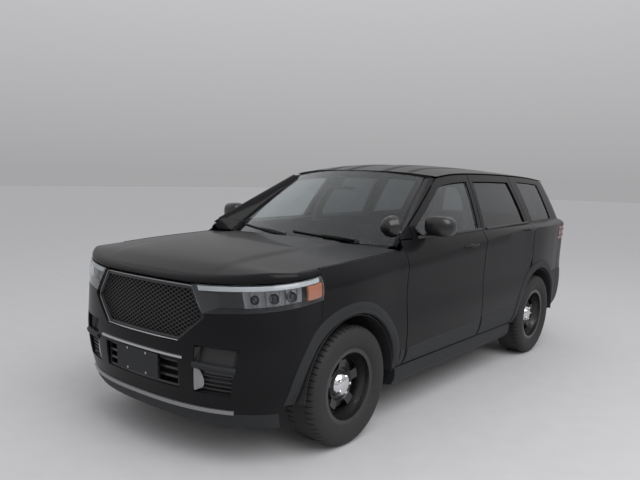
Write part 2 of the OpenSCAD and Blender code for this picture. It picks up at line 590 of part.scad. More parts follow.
// Side windows, set in the holes of the doors and quarter panels
module door_glass(front) {
    first = front ? 3 : 2;
    last = len(door_shares) + 4;
    columns = [for (j = [first : last]) j];
    grid = function (d) [for (t = [0, 0.5, 1]) [for (j = columns) let (
            a = door_point(front, belt_row + 1, j, false),
            b = door_point(front, belt_row + 2, j, false),
            in = j == first ? seat_gap : j == last ? -seat_gap : 0)
        mix(a, b, t) + [-d, in, t == 0 ? seat_gap : t == 1 ? -seat_gap : 0]]];
    color(clear) sheet(grid(14), grid(14 + glass_t));
}
module glass_front_left() { door_glass(true); }
module glass_front_right() { mirror([1, 0, 0]) door_glass(true); }
module glass_rear_left() { door_glass(false); }
module glass_rear_right() { mirror([1, 0, 0]) door_glass(false); }

// Steel wheel with windows and a hub cap, about the x axis, outer face towards +x
wheel_windows = 5;
window_r = [112, 178];           // inner and outer radius of a window in the wheel disc
window_deg = 25;                 // half the angle that a window takes
cap_r_out = 86;                  // radius of the hub cap
module wheel_window() {
    polygon(concat([for (a = [-1 : 0.25 : 1]) window_r[1] * [cos(a * window_deg), sin(a * window_deg)]],
        [for (a = [0.8 : -0.4 : -0.8]) window_r[0] * [cos(a * window_deg), sin(a * window_deg)]]));
}
module wheel() {
    e = rim_w / 2;
    bore = spindle_r + pin_gap;
    color("black") rotate([0, 90, 0]) {
        // Rim, then the disc that carries it
        rotate_extrude($fn = 64) polygon([[rim_r, -e], [rim_r, -e + 8], [rim_r - 20, -e + 14],
            [rim_r - 42, -10], [rim_r - 22, e - 40], [rim_r - 18, e - 14], [rim_r, e - 8], [rim_r, e],
            [rim_r - 26, e - 4], [rim_r - 30, e - 36], [rim_r - 52, -6], [rim_r - 28, -e + 4]]);
        difference() {
            rotate_extrude($fn = 64) polygon([[bore, 12], [95, 12], [110, 34], [160, 44], [rim_r - 44, 12],
                [rim_r - 44, 4], [158, 34], [118, 24], [104, 2], [bore, 2]]);
            for (k = [0 : wheel_windows - 1]) rotate([0, 0, 360 / wheel_windows * k])
                translate([0, 0, -10]) linear_extrude(80) wheel_window();
        }
    }
    foot = 12 + seat_gap;
    color("silver") rotate([0, 90, 0]) rotate_extrude($fn = 48) polygon([[0, 72], [34, 70], [62, 60],
        [cap_r_out - 6, 36], [cap_r_out, foot], [cap_r_out - 16, foot], [cap_r_out - 24, 38], [0, 50]]);
}
module tyre() {
    r = tyre_r;
    w = tyre_w / 2;
    b = rim_w / 2;
    seat = rim_r + seat_gap;
    // Outer half profile from the bead to the tread's middle, then the same inside
    outer = [[seat, b], [seat + 40, w - 4], [seat + 85, w], [r - 26, w - 10], [r - 6, w - 30], [r, w - 55]];
    inner = [[r - 30, w - 40], [seat + 20, b - 22], [seat, b - 8]];
    flip = function (list) [for (k = [len(list) - 1 : -1 : 0]) [list[k][0], -list[k][1]]];
    color([0.1, 0.1, 0.1]) rotate([0, 90, 0]) rotate_extrude($fn = 72)
        polygon(concat(outer, flip(outer), flip([for (k = [len(inner) - 1 : -1 : 0]) inner[k]]),
            [for (k = [0 : len(inner) - 1]) inner[k]]));
}
module at_wheel(left, front) {
    translate([(left ? 1 : -1) * track / 2, front ? axle_f : axle_r, axle_z])
        mirror([left ? 0 : 1, 0, 0]) children();
}
module wheel_front_left() { at_wheel(true, true) wheel(); }
module wheel_front_right() { at_wheel(false, true) wheel(); }
module wheel_rear_left() { at_wheel(true, false) wheel(); }
module wheel_rear_right() { at_wheel(false, false) wheel(); }
module tyre_front_left() { at_wheel(true, true) tyre(); }
module tyre_front_right() { at_wheel(false, true) tyre(); }
module tyre_rear_left() { at_wheel(true, false) tyre(); }
module tyre_rear_right() { at_wheel(false, false) tyre(); }

// Front knuckle: spindle, brake disc and the upright that turns about the steering axis
steer_in = 75;
module spindle_and_disc() {
    rotate([0, 90, 0]) {
        translate([0, 0, -130]) cylinder(r = spindle_r, h = 138);
        translate([0, 0, -32]) cylinder(r = 165, h = 28 - 2);
    }
}
module knuckle() {
    color("dimgray") difference() {
        union() {
            spindle_and_disc();
            translate([-steer_in, 0, -130]) cylinder(r = 26, h = 260);
            translate([-steer_in - 20, -60, -45]) cube([40, 120, 90]);
        }
        translate([-steer_in, 0, -131]) cylinder(r = 12 + pin_gap, h = 60);
    }
}
module knuckle_left() { at_wheel(true, true) knuckle(); }
module knuckle_right() { at_wheel(false, true) knuckle(); }

// Floor, sills and engine bay
floor_half = half_w - 309.5;      // half width of the cabin floor
wheel_in = track / 2 - tyre_w / 2 - 30;   // clear of the wheels' inner faces
post_face = half_w - 190;
floor_z = 230;
sill_top = 392;
dash_y = axle_f + arch_r + 24 + seat_gap;
floor_t = 24;
seat_step_y = axle_r - 640;      // front of the step that carries the rear seat
cargo_step_y = axle_r - 190;     // front of the load floor
seat_step_z = 376;
cargo_z = 440;
liner_in_r = wheel_in - 40;      // inner face of the rear wheel liners
module floor_pan() {
    // Profile from the dash to the tail: [station y, height of the underside]
    low = [[dash_y, floor_z], [seat_step_y, floor_z], [seat_step_y, seat_step_z],
        [cargo_step_y, seat_step_z], [cargo_step_y, cargo_z], [tail_y - 160, cargo_z]];
    high = [for (k = [len(low) - 1 : -1 : 0]) low[k] + [k == 0 || k == len(low) - 1 ? 0 : -floor_t, floor_t]];
    color(plastic) for (part = [[dash_y - 1, seat_step_y - floor_t, floor_half],
            [seat_step_y - floor_t, axle_r + 500, liner_in_r - seat_gap], [axle_r + 500, tail_y, 560]])
        intersection() {
            translate([-part[2], 0, 0]) rotate([90, 0, 90]) linear_extrude(2 * part[2])
                polygon(concat(low, high));
            translate([-part[2], part[0], 0]) cube([2 * part[2], part[1] - part[0], 2 * cargo_z]);
        }
}
module sills() {
    y0 = axle_f + arch_r + 14;
    y1 = axle_f + arch_out_r + 1;
    skirt = door_low_z - 10;
    color(plastic) both_sides() {
        translate([floor_half + seat_gap, y0, floor_z])
            cube([post_face - floor_half - seat_gap, axle_r - arch_r - 20 - y0, sill_top - floor_z]);
        // Outer skirt below the doors
        y2 = axle_r - arch_out_r - 1;
        translate([0, y2, 0]) rotate([90, 0, 0]) linear_extrude(y2 - y1)
            polygon([[post_face - 20, floor_z + 10], [half_w - 90, floor_z + 22], [half_w - 64, floor_z + 60],
                [half_w - 58, skirt - 30], [half_w - 66, skirt], [post_face - 20, skirt]]);
    }
}
apron_x = wheel_in - 202.5;
subframe_z = [210, 290];         // foot and top of the front subframe
module engine_bay() {
    color(paint) {
        translate([-floor_half, dash_y - 24, floor_z]) cube([2 * floor_half, 24 - seat_gap, 880]);
        both_sides() {
            translate([apron_x - 14, cap_f - 250, 480]) cube([14, dash_y - 24 - cap_f + 250, 520]);
            translate([apron_x - 64, cap_f - 250, subframe_z[1] + seat_gap])
                cube([50, dash_y - 24 - cap_f + 250, 490 - subframe_z[1]]);
        }
        translate([-apron_x + 14, cap_f - 250, 300]) cube([2 * apron_x - 28, 30, 640]);
    }
}
module engine() {
    color("gray") translate([-330, axle_f - 260, subframe_z[1] + seat_gap]) cube([660, 620, 620]);
}

// Pillars, with the fixed half of the door hinges
module hinge_mounts(hinge) {
    for (z = hinge_heights) translate([hinge[0], hinge[1], z]) {
        translate([0, 0, -24]) cylinder(r = pin_r, h = 39);
        translate([post_face - hinge[0], -pin_r, -24]) cube([hinge[0] - post_face, 2 * pin_r, 8]);
    }
}
post_t = 80;
post_top = belt_z - 20;
post_low_top = 1120;              // top of the front post, below the windshield pillar's foot
module front_pillars() {
    foot = [post_face - post_t, lead_f(crease_z) - 40, sill_top + seat_gap];
    color(paint) both_sides() {
        translate(foot) cube([post_t, hinge_f[1] + 45 - foot[1], post_low_top - foot[2]]);
        translate([post_face - 33, shield_foot[1] + 76, post_low_top - 1]) cube([20, 24, 139]);
        hinge_mounts(hinge_f);
        hood_bracket();
        pillar_sheet();
    }
}
hood_hinge = [840, shield_foot[1] - 97, 1163];
module hood_bracket() {
    translate([post_face - 22, hood_hinge[1] - 14, 1119]) cube([22, 28, 54]);
    translate([post_face - 22, hood_hinge[1], hood_hinge[2]]) rotate([0, 90, 0]) cylinder(r = 6, h = 75);
}
// Windshield pillar, between the edge of the glass and the edge of the door
pillar_gap = 1.3 * shut_gap;
function pillar_edge(z) = pillar_y + (z - pillar_gap - belt(pillar_y) - 60) / 0.5;
// Columns from the glass edge over the crown to a thin lip along the door; the foot stays above the
// door's leading edge, which swings in below it
door_swing_gap = 6;
pillar_rows = [for (t = shield_rows) if (t > 0) t];
function pillar_row(t, inner) = let (
        e = shield(1, t) + [3 * seat_gap, 0, 0],
        z = min(max(e[2] + 30, belt(pillar_y) + shut_gap + 2), height - 117),
        y = pillar_edge(z),
        d = [side_x(y, z), y, z],
        m = mix(e, d, 0.55) + [6, -16, 10],
        k = mix(e, m, 0.8))
    inner ? [for (p = [e + [0, 20, -28], k + [-2, 19, -29], m + [-4, 3.5, -5.2], d + [-2, 2.2, -3.3]])
        [p[0], p[1], max(p[2], belt(door_a) + door_swing_gap)]]
    : [e, k, m, d];
sail_t = 14;
module pillar_sheet() {
    sheet([for (t = pillar_rows) pillar_row(t, false)], [for (t = pillar_rows) pillar_row(t, true)]);
    // Sail panel between the pillar, the door's sill and the front of its window frame
    sail = [for (f = [0, 0.35, 0.7, 1]) mix(door_a - 40, hinge_f[1] + 16 - shut_gap, f)];
    grid = function (d) [for (low = [true, false]) [for (y = sail)
        wall(y, low ? belt(y) + shut_gap : pillar_line(y) + pillar_gap - (d == 0 ? 5 : 7.5), d)]];
    sheet(grid(0), grid(sail_t));
}
module door_pillars() {
    y0 = split_y - 70;
    color(paint) both_sides() {
        translate([post_face - post_t, y0, sill_top + seat_gap])
            cube([post_t, hinge_r[1] + 45 - y0, post_top - sill_top - seat_gap]);
        hinge_mounts(hinge_r);
        upper_pillar();
    }
}
// Upper half of the door pillar, behind the window frames, up to the roof's side member
pillar_depth = [62, 105];
function upper_row(z, inner) = [for (y = [split(z) - 45, split(z) + 55]) let (
        x = min(post_face, side_x(y, z) - pillar_depth[0]))
    [x - (inner ? pillar_depth[1] - pillar_depth[0] : 0), y, z]];
module upper_pillar() {
    under = function (s, k) member_point(s, roof_rows[k], 1) - [0, 0, seat_gap];
    top = function (s) [for (f = [0.48, 0.75]) mix(under(s, 1), under(s, 2), f)];
    rows = [post_top - 20, for (f = [0.18, 0.43, 0.65]) belt_z + f * rail_rise];
    sheet(concat([for (z = rows) upper_row(z, false)], [top(0.88)]),
        concat([for (z = rows) upper_row(z, true)], [top(0.8)]));
}

// Hood and liftgate hinge arms ride with their panels
module hood_hinges() {
    translate([hood_hinge[0], hood_hinge[1], hood_hinge[2]]) difference() {
        union() {
            rotate([0, 90, 0]) cylinder(r = 9, h = 30, center = true);
            translate([-15, -70, -4]) cube([30, 70, 18]);
        }
        rotate([0, 90, 0]) cylinder(r = 6 + pin_gap, h = 40, center = true);
    }
}

// Quarter window, in the hole of the quarter panel
module quarter_glass() {
    stations = [for (k = [1 : 6]) quarter_stations()[k]];
    grid = function (d) [for (t = [0, 0.5, 1]) [for (k = [0 : 5]) let (
            y = stations[k],
            z = mix(quarter_rows(y)[6] + seat_gap, quarter_rows(y)[7] - seat_gap, t))
        wall(y + (k == 0 ? seat_gap : k == 5 ? -seat_gap : 0), z, d)]];
    color(clear) both_sides() sheet(grid(10), grid(10 + glass_t));
}

// Cowl below the windshield, with the wiper arms
module cowl() {
    grid = function (d) [for (t = [0, 0.5, 1]) [for (s = cross) let (f = shield(s, 0))
        [f[0] * 0.97, f[1] - mix(92, -4, t), f[2] - mix(52, 4.6, t) - d]]];
    color("black") sheet(grid(0), grid(14));
}

// Roof side members under the roof's edge
member_edges = [0.76, 0.88];     // shares of the roof's half width
member_t = 40;
function member_point(s, t, side) = let (
        e = [for (k = member_edges) roof_point(k, t, roof_t + 3 * seat_gap)],
        f = (s - member_edges[0]) / (member_edges[1] - member_edges[0]))
    mix(e[0], e[1], f) - [0, 0, side * member_t];
module roof_rails() {
    grid = function (side) [for (t = roof_rows) [for (s = member_edges) member_point(s, t, side)]];
    color(plastic) both_sides() sheet(grid(0), grid(1));
}

// Mouldings round the wheel arches, from the bumper or sill up and over
moulding_out = 7;
function moulding_row(axle, r, a, d) = let (
        y = axle - r * cos(a),
        z = axle_z + r * sin(a),
        s = y < cap_f ? nose_place(y, z) : y)
    wall(s, z, d);
front_arch = concat([for (z = bumper_rows) if (z >= axle_z && z <= 712) arch_deg(z)], fender_arch, [180]);
rear_arch = concat([0, 16, 32, 48], quarter_arch,
    [for (k = [len(rear_rows) - 2 : -1 : 1]) 180 - arch_deg(rear_rows[k])]);
module arch_moulding(axle, angles) {
    grid = function (d) [for (r = [arch_out_r - seat_gap, arch_r + 8, arch_r]) [for (a = angles)
        moulding_row(axle, r, a, r == arch_r && d < 0 ? 8 : d)]];
    sheet_back(grid(-moulding_out), grid(22));
}
module arch_mouldings() {
    color(plastic) both_sides() {
        arch_moulding(axle_f, front_arch);
        arch_moulding(axle_r, rear_arch);
    }
}

// Wheel-house liners inside the arches
module liner(axle, inner_x, shaft) {
    r = arch_r - 12.6;
    x1 = half_w - 30;
    translate([inner_x, axle, axle_z]) rotate([0, 90, 0]) difference() {
        cylinder(r = r + 4, h = x1 - inner_x);
        translate([0, 0, 4]) cylinder(r = r, h = x1 - inner_x);
        translate([0, -r - 10, -1]) cube([r + 20, 2 * r + 20, x1 - inner_x + 2]);
        if (shaft) translate([-80, -70, -1]) cube([81, 140, 6]);
    }
}
module wheel_liners() {
    color("black") both_sides() {
        liner(axle_f, apron_x + seat_gap, false);
        liner(axle_r, liner_in_r, true);
    }
}

// Door mirrors: a rounded housing with a flat glass side, on a foot at the window sill
mirror_at = [half_w + 48, axle_f + 900, belt_z + 62];
mirror_back = 58;                // the glass side, behind the housing's middle
// Rounded corners of the housing: [x, y, z from its middle, radius]
mirror_corners = [[-46, 6, -18, 48], [-40, 14, 20, 46], [34, 30, 18, 38], [40, 32, -24, 32]];
module door_mirror() {
    foot_x = side_x(mirror_at[1], belt_z) + 2 + seat_gap;
    color(paint) {
        intersection() {
            hull() for (p = mirror_corners)
                translate(mirror_at + [p[0], p[1], p[2]]) sphere(r = p[3], $fn = 24);
            translate(mirror_at - [150, 150, 150]) cube([300, 150 + mirror_back, 300]);
        }
        hull() {
            translate([foot_x, mirror_at[1] - 40, belt_z]) cube([2, 110, 26]);
            translate(mirror_at + [-70, 5, -66]) cube([50, 44, 12]);
        }
    }
}
module mirror_left() { door_mirror(); }
module mirror_right() { mirror([1, 0, 0]) door_mirror(); }

// Spotlight on the left windshield pillar
spot_at = [half_w - 142, axle_f + 526, 1335];
spot_r = 72;
spot_foot = [half_w - 130, axle_f + 623, 1286];
module rod(a, b, r) {
    run = b - a;
    translate(a) rotate([0, acos(run[2] / norm(run)), atan2(run[1], run[0])]) cylinder(r = r, h = norm(run));
}
module spotlight() {
    // Round housing with its dome forward, and the lens turned back towards the glass
    color("black") translate(spot_at) rotate([-90, 0, -12])
        rotate_extrude() polygon([[0, -70], [0.34 * spot_r, -66], [0.66 * spot_r, -52], [0.88 * spot_r, -28],
            [0.97 * spot_r, 0], [spot_r, 6], [spot_r, 22], [0.94 * spot_r, 26], [0.5 * spot_r, 34], [0, 37]]);
    color("silver") rod(spot_at, spot_foot, 9);
}

// Cabin: dashboard, steering wheel, seats
module dashboard() {
    profile = [[0, 0], [330, 0], [470, 90], [480, 150], [330, 235], [60, 250], [0, 180]];
    color("dimgray") difference() {
        translate([-floor_half + 10, dash_y + seat_gap, 760]) rotate([90, 0, 90])
            linear_extrude(2 * floor_half - 20) polygon(profile);
        translate(wheel_at) rotate([-wheel_tilt, 0, 0]) translate([0, 0, -151])
            cylinder(r = column_r + seat_gap, h = 200);
    }
}
wheel_at = [390, dash_y + 560, 985];
wheel_tilt = 65;
column_r = 28;
module steering_wheel() {
    color("black") translate(wheel_at) rotate([-wheel_tilt, 0, 0]) {
        rotate_extrude() translate([180, 0]) circle(r = 15, $fn = 24);
        for (a = [0, 120, 240]) rotate([0, 0, a + 90]) translate([0, -16, -6]) cube([172, 32, 12]);
        cylinder(r = 58, h = 40, center = true);
        translate([0, 0, -150]) cylinder(r = column_r, h = 140);
    }
}
module seat(w, depth, back_h, back_z, lean) {
    hull() {
        translate([-w / 2 + 30, 30, 30]) sphere(r = 30, $fn = 16);
        translate([w / 2 - 30, 30, 30]) sphere(r = 30, $fn = 16);
        translate([-w / 2 + 40, 40, 110]) sphere(r = 40, $fn = 16);
        translate([w / 2 - 40, 40, 110]) sphere(r = 40, $fn = 16);
        translate([-w / 2, depth - 60, 0]) cube([w, 60, 110]);
    }
    translate([0, depth + seat_gap, back_z]) rotate([-lean, 0, 0]) {
        hull() {
            translate([-w / 2, 0, 0]) cube([w, 110, 60]);
            translate([-w / 2 + 60, 10, back_h - 30]) cube([w - 120, 70, 30]);
        }
    }
}
seat_z = 400;
module front_seats() {
    color([0.2, 0.2, 0.2]) both_sides() translate([390, dash_y + 800, seat_z]) {
        seat(520, 500, 620, 40, 20);
        rise = seat_z - floor_z - floor_t;
        translate([-180, 40, -rise]) cube([360, 400, rise - seat_gap]);
    }
}
module rear_bench() {
    color([0.2, 0.2, 0.2]) translate([0, axle_r - 700, seat_step_z + floor_t + seat_gap])
        seat(2 * (liner_in_r - 32.5), 480, 560, 108, 22);
}

// Running gear under the floor
module front_subframe() {
    color("dimgray") {
        translate([-470, axle_f - 60, subframe_z[0]]) cube([940, 380, subframe_z[1] - subframe_z[0]]);
        both_sides() {
            translate([380, axle_f - 30, 225]) cube([track / 2 - steer_in - 380 + 20, 60, 22]);
            translate([track / 2 - steer_in, axle_f, 225]) cylinder(r = 12, h = axle_z - 130 + 60 - 10 - 225);
        }
    }
}
module rear_subframe() {
    color("dimgray") {
        translate([-480, axle_r - 170, 250]) cube([960, 340, 90]);
        both_sides() {
            for (y = [-160, 100]) translate([380, axle_r + y, 330]) cube([60, 60, cargo_z - 330 - seat_gap]);
            translate([460, axle_r - 40, 260]) cube([track / 2 - 150 - 460, 80, 60]);
            translate([track / 2 - 170, axle_r - 50, 260]) cube([50, 100, 200]);
            translate([track / 2, axle_r, axle_z]) spindle_and_disc();
            translate([120, axle_r, axle_z]) rotate([0, 90, 0]) cylinder(r = 18, h = track / 2 - 250);
        }
    }
}
module fuel_tank() {
    color("gray") translate([-200, seat_step_y + 30, 200])
        cube([800, cargo_step_y - seat_step_y - 40, seat_step_z - 200 - seat_gap]);
}
pipe_z = 190;
pipe_r = 32;
module exhaust() {
    color("silver") {
        translate([-300, axle_f + 500, pipe_z]) rotate([-90, 0, 0]) cylinder(r = pipe_r, h = wheelbase + 100);
        translate([-300, axle_r + 560, pipe_z + 50]) rotate([-90, 0, 0]) cylinder(r = 90, h = 380);
        translate([-300, axle_r + 900, pipe_z + 50]) rotate([-90, 0, 0]) cylinder(r = pipe_r, h = 200);
        // Hangers under the floor
        for (y = [axle_f + 900, axle_f + 1900])
            translate([-312, y, pipe_z]) cube([24, 30, floor_z - pipe_z - seat_gap]);
        for (y = [axle_r + 600, axle_r + 880])
            translate([-312, y, pipe_z + 60]) cube([24, 30, cargo_z - pipe_z - 60 - seat_gap]);
    }
}

// Blank front plate bracket, with four bolt holes
plate_size = [400, 150];
plate_bolts = [178, 121];
plate_bolt_r = 3.5;
plate_z = 541;
plate_face = nose_y;
module plate_bracket() {
    color("black") difference() {
        translate([-plate_size[0] / 2, plate_face, plate_z - plate_size[1] / 2])
            cube([plate_size[0], plate_t - seat_gap, plate_size[1]]);
        for (x = [-0.5, 0.5], z = [-0.5, 0.5])
            translate([x * plate_bolts[0], nose_y + 10, plate_z + z * plate_bolts[1]])
                rotate([90, 0, 0]) cylinder(r = plate_bolt_r, h = 30);
    }
}

hood();
fenders();
front_bumper();
quarter_panels();
roof_panel();
door_front_left();
door_front_right();
door_rear_left();
door_rear_right();
windshield();
grille();
lower_grille();
corner_vents();
headlamps();
headlamp_lenses();
rear_bumper();
tail_lamps();
liftgate();
liftgate_glass();
glass_front_left();
glass_front_right();
glass_rear_left();
glass_rear_right();
wheel_front_left();
wheel_front_right();
wheel_rear_left();
wheel_rear_right();
tyre_front_left();
tyre_front_right();
tyre_rear_left();
tyre_rear_right();
knuckle_left();
knuckle_right();
floor_pan();
sills();
engine_bay();
engine();
front_pillars();
door_pillars();
quarter_glass();
cowl();
roof_rails();
arch_mouldings();
wheel_liners();
mirror_left();
mirror_right();
spotlight();
dashboard();
steering_wheel();
front_seats();
rear_bench();
front_subframe();
rear_subframe();
fuel_tank();
exhaust();
plate_bracket();
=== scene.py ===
"""Looks of the police sport utility vehicle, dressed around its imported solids."""

import math

import bmesh
import bpy
import numpy as np
from mathutils import Matrix, Vector


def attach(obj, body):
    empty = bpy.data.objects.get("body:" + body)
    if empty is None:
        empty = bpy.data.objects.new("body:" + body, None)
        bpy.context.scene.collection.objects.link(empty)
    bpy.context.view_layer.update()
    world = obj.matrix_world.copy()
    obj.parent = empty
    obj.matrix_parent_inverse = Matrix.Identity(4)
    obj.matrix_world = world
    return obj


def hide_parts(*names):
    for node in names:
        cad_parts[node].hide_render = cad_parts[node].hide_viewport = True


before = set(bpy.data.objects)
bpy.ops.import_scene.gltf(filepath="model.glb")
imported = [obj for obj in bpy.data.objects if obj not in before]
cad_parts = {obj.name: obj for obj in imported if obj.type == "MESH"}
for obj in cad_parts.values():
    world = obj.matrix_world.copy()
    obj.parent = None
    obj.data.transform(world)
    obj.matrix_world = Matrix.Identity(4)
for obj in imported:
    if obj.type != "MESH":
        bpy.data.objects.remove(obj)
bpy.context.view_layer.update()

# Sizes in millimetres, the same as the solids have
MM = 0.001
LENGTH, WIDTH, HEIGHT = 5050, 2004, 1767
WHEELBASE, FRONT_OVERHANG, TRACK = 3025, 872, 1700
TYRE_R, TYRE_W, RIM_R, RIM_W = 381, 255, 241, 210
ARCH_R, MOULDING_W, SHUT_GAP = 462, 76, 9
DOOR_T, FRAME_T, FRAME_W = 85, 38, 50
HINGE_SET, HINGE_DEPTH, PIN_R = 110, 25, 6
GLASS_T, SEAT_GAP, PLATE_T = 5, 0.3, 7
HALF_W = WIDTH / 2
NOSE_Y, TAIL_Y = -LENGTH / 2, LENGTH / 2
AXLE_F = NOSE_Y + FRONT_OVERHANG
AXLE_R = AXLE_F + WHEELBASE
AXLE_Z = TYRE_R
ARCH_OUT_R = ARCH_R + MOULDING_W
# Heights of the side's lines at mid length, and how much shoulder and belt rise along the body
DOOR_LOW_Z, CREASE_Z, SHOULDER_Z, BELT_Z = 388, 650, 1166, 1256
TUCK_Z, UPPER_Z = DOOR_LOW_Z + 80, CREASE_Z + 210
SHOULDER_RISE, BELT_RISE = 0.075, 0.014
ROOF_CROWN, WINDOW_LEAN = 63, 0.45
# Stations where the rounded ends start, the millimetres that count as a degree there, and their squareness
CAP_F, CAP_R = NOSE_Y + 525, TAIL_Y - 575
CAP_DEG, CAP_POW = 5, 0.8
# Stations of the doors' edges
DOOR_A, SPLIT_Y, DOOR_C = AXLE_F + 613, AXLE_F + 1780, AXLE_R - 252
LEFT_RIGHT = (("left", 1), ("right", -1))
FRONT_REAR = (("front", True), ("rear", False))


# Plain mathematics
def cosd(a):
    return math.cos(math.radians(a))


def sind(a):
    return math.sin(math.radians(a))


def asind(x):
    return math.degrees(math.asin(clamp(x, -1.0, 1.0)))


def acosd(x):
    return math.degrees(math.acos(clamp(x, -1.0, 1.0)))


def clamp(x, low=0.0, high=1.0):
    return max(low, min(high, x))


def smooth(x):
    x = clamp(x)
    return x * x * (3 - 2 * x)


def mix(a, b, t):
    return a + (b - a) * t


def signed_power(x, e):
    return math.copysign(abs(x) ** e, x)


def vec(*xyz):
    return np.array(xyz, float)


def at(values, f):
    """Value at a fractional index of a list."""
    i = min(int(f), len(values) - 2)
    return mix(values[i], values[i + 1], f - i)


def curve(table, x):
    """Smooth curve through a table of (place, value) rows."""
    i = 0
    while i < len(table) - 2 and x >= table[i + 1][0]:
        i += 1

    def slope(k):
        a, b = table[max(k - 1, 0)], table[min(k + 1, len(table) - 1)]
        return (b[1] - a[1]) / (b[0] - a[0])

    h = table[i + 1][0] - table[i][0]
    s = clamp((x - table[i][0]) / h)
    r = 1 - s
    return (table[i][1] * (1 + 2 * s) * r * r + slope(i) * h * s * r * r
            + table[i + 1][1] * s * s * (3 - 2 * s) - slope(i + 1) * h * s * s * r)


def lookup(table, x):
    """Straight lines through a table of (place, value) rows."""
    return float(np.interp(x, [row[0] for row in table], [row[1] for row in table]))


# The shared body surface: rows of (station, inset or share) and of (height, inset or set back)
PLAN_INSET = ((CAP_F, 40), (AXLE_F, 2), (AXLE_F + 520, 17), (0, 17), (AXLE_R - 450, 12),
              (AXLE_R, 2), (AXLE_R + 330, 22), (CAP_R, 52))
BELT_INSET = ((CAP_F, 128), (AXLE_F, 112), (AXLE_F + 650, 88), (0, 73), (AXLE_R - 380, 80),
              (AXLE_R + 480, 118), (CAP_R + 250, 150))
RAIL_TOP_Y = AXLE_F + 2000
RAIL_SHARE = ((AXLE_F + 1350, 0.93), (AXLE_F + 1650, 0.985), (RAIL_TOP_Y, 1),
              (AXLE_R - 500, 0.985), (AXLE_R + 200, 0.93), (AXLE_R + 700, 0.84), (TAIL_Y - 300, 0.8))
NOSE_SET = ((230, 85), (300, 34), (420, 20), (600, PLATE_T), (720, 16), (900, 34),
            (1045, 62), (1090, 90), (1180, 150))
TAIL_SET = ((330, 60), (450, 12), (600, 0), (740, 12), (790, 45), (900, 58), (1100, 80), (1260, 122),
            (HEIGHT - 317, 212), (HEIGHT - 147, 300), (HEIGHT - 67, 345))
SIDE_LOW = ((DOOR_LOW_Z - 60, 80), (DOOR_LOW_Z, 46), (TUCK_Z, 14), (CREASE_Z, 0), (UPPER_Z, 11))
SHOULDER_INSET, SHOULDER_DROP = 3, 35
BELT_POW, WINDOW_BOW = 1.5, 0.00025
# Crease of the shoulder line: how far it stands out, where it starts, and its run along, up and down
RIDGE, RIDGE_START = 5, DOOR_A - 170
RIDGE_RUN, RIDGE_UP, RIDGE_DOWN = 160, 22, 76


def belt(y):
    return BELT_Z + BELT_RISE * y


def shoulder(y):
    return min(SHOULDER_Z + SHOULDER_RISE * y, belt(y) - SHOULDER_DROP)


RAIL_RISE = HEIGHT - belt(RAIL_TOP_Y) - ROOF_CROWN


def rail(y):
    return belt(y) + RAIL_RISE * curve(RAIL_SHARE, y)


def ridge(y, z):
    """How far the crease of the shoulder line stands out; it runs out on the fender."""
    above = z - shoulder(y)
    away = above / RIDGE_UP if above > 0 else -above / RIDGE_DOWN
    return RIDGE * smooth((y - RIDGE_START) / RIDGE_RUN) * clamp(1 - away)


def side_x(y, z):
    """Half width of the body at station y and height z."""
    return plain_side_x(y, z) + ridge(y, z)


def plain_side_x(y, z):
    """Half width without the crease: lower side, shoulder to belt, and the leaning windows."""
    zs, zb = shoulder(y), belt(y)
    if z <= zs:
        return HALF_W - curve(PLAN_INSET, y) - curve((*SIDE_LOW, (zs, SHOULDER_INSET)), z)
    if z <= zb:
        return mix(HALF_W - curve(PLAN_INSET, y) - SHOULDER_INSET, HALF_W - curve(BELT_INSET, y),
                   ((z - zs) / (zb - zs)) ** BELT_POW)
    dz = z - zb
    return HALF_W - curve(BELT_INSET, y) - WINDOW_LEAN * dz - WINDOW_BOW * dz * dz


def wall(s, z, d=0.0):
    """Point of the body wall, d inside the skin; past a cap each CAP_DEG of s is a degree round it."""
    front = s < CAP_F
    turn = (CAP_F - s) / CAP_DEG if front else max(0, s - CAP_R) / CAP_DEG
    foot = CAP_F if front else min(s, CAP_R)
    w = side_x(foot, z)
    if turn == 0:
        return vec(w - d, s, z)
    reach = curve(NOSE_SET, z) + NOSE_Y - CAP_F if front else TAIL_Y - curve(TAIL_SET, z) - CAP_R
    bend = -1 if turn > 90 else 1
    c, n = cosd(turn), sind(turn)
    return vec(bend * w * abs(c) ** CAP_POW - d * c,
               foot + reach * n ** CAP_POW - math.copysign(d * n, reach * d), z)


def cap_turn(x, z, foot):
    return acosd((x / side_x(foot, z)) ** (1 / CAP_POW))


def nose_place(y, z):
    if y >= CAP_F:
        return y
    return CAP_F - CAP_DEG * asind(((CAP_F - y) / (CAP_F - NOSE_Y - curve(NOSE_SET, z))) ** (1 / CAP_POW))


def tail_place(y, z):
    if y <= CAP_R:
        return y
    return CAP_R + CAP_DEG * asind(((y - CAP_R) / (TAIL_Y - curve(TAIL_SET, z) - CAP_R)) ** (1 / CAP_POW))


# Mesh building: a shape is (points in millimetres, faces)
FLIP = vec(-1, 1, 1)
MERGE, BEVEL_DEG = 1e-6, 50


def sheet(outer, inner, keep=lambda i, j: True):
    """Closed sheet between two grids of points, with only the kept cells."""
    rows, cols = len(outer), len(outer[0])
    half = rows * cols
    points = [p for grid in (outer, inner) for row in grid for p in row]
    kept = {(i, j) for i in range(rows - 1) for j in range(cols - 1) if keep(i, j)}
    faces = []
    for i, j in sorted(kept):
        a = i * cols + j
        b, f, e = a + 1, a + cols, a + cols + 1
        faces += [(a, f, e, b), (a + half, b + half, e + half, f + half)]
        for there, p, q in (((i - 1, j), a, b), ((i + 1, j), e, f), ((i, j - 1), f, a), ((i, j + 1), b, e)):
            if there not in kept:
                faces.append((p, q, q + half, p + half))
    return points, faces


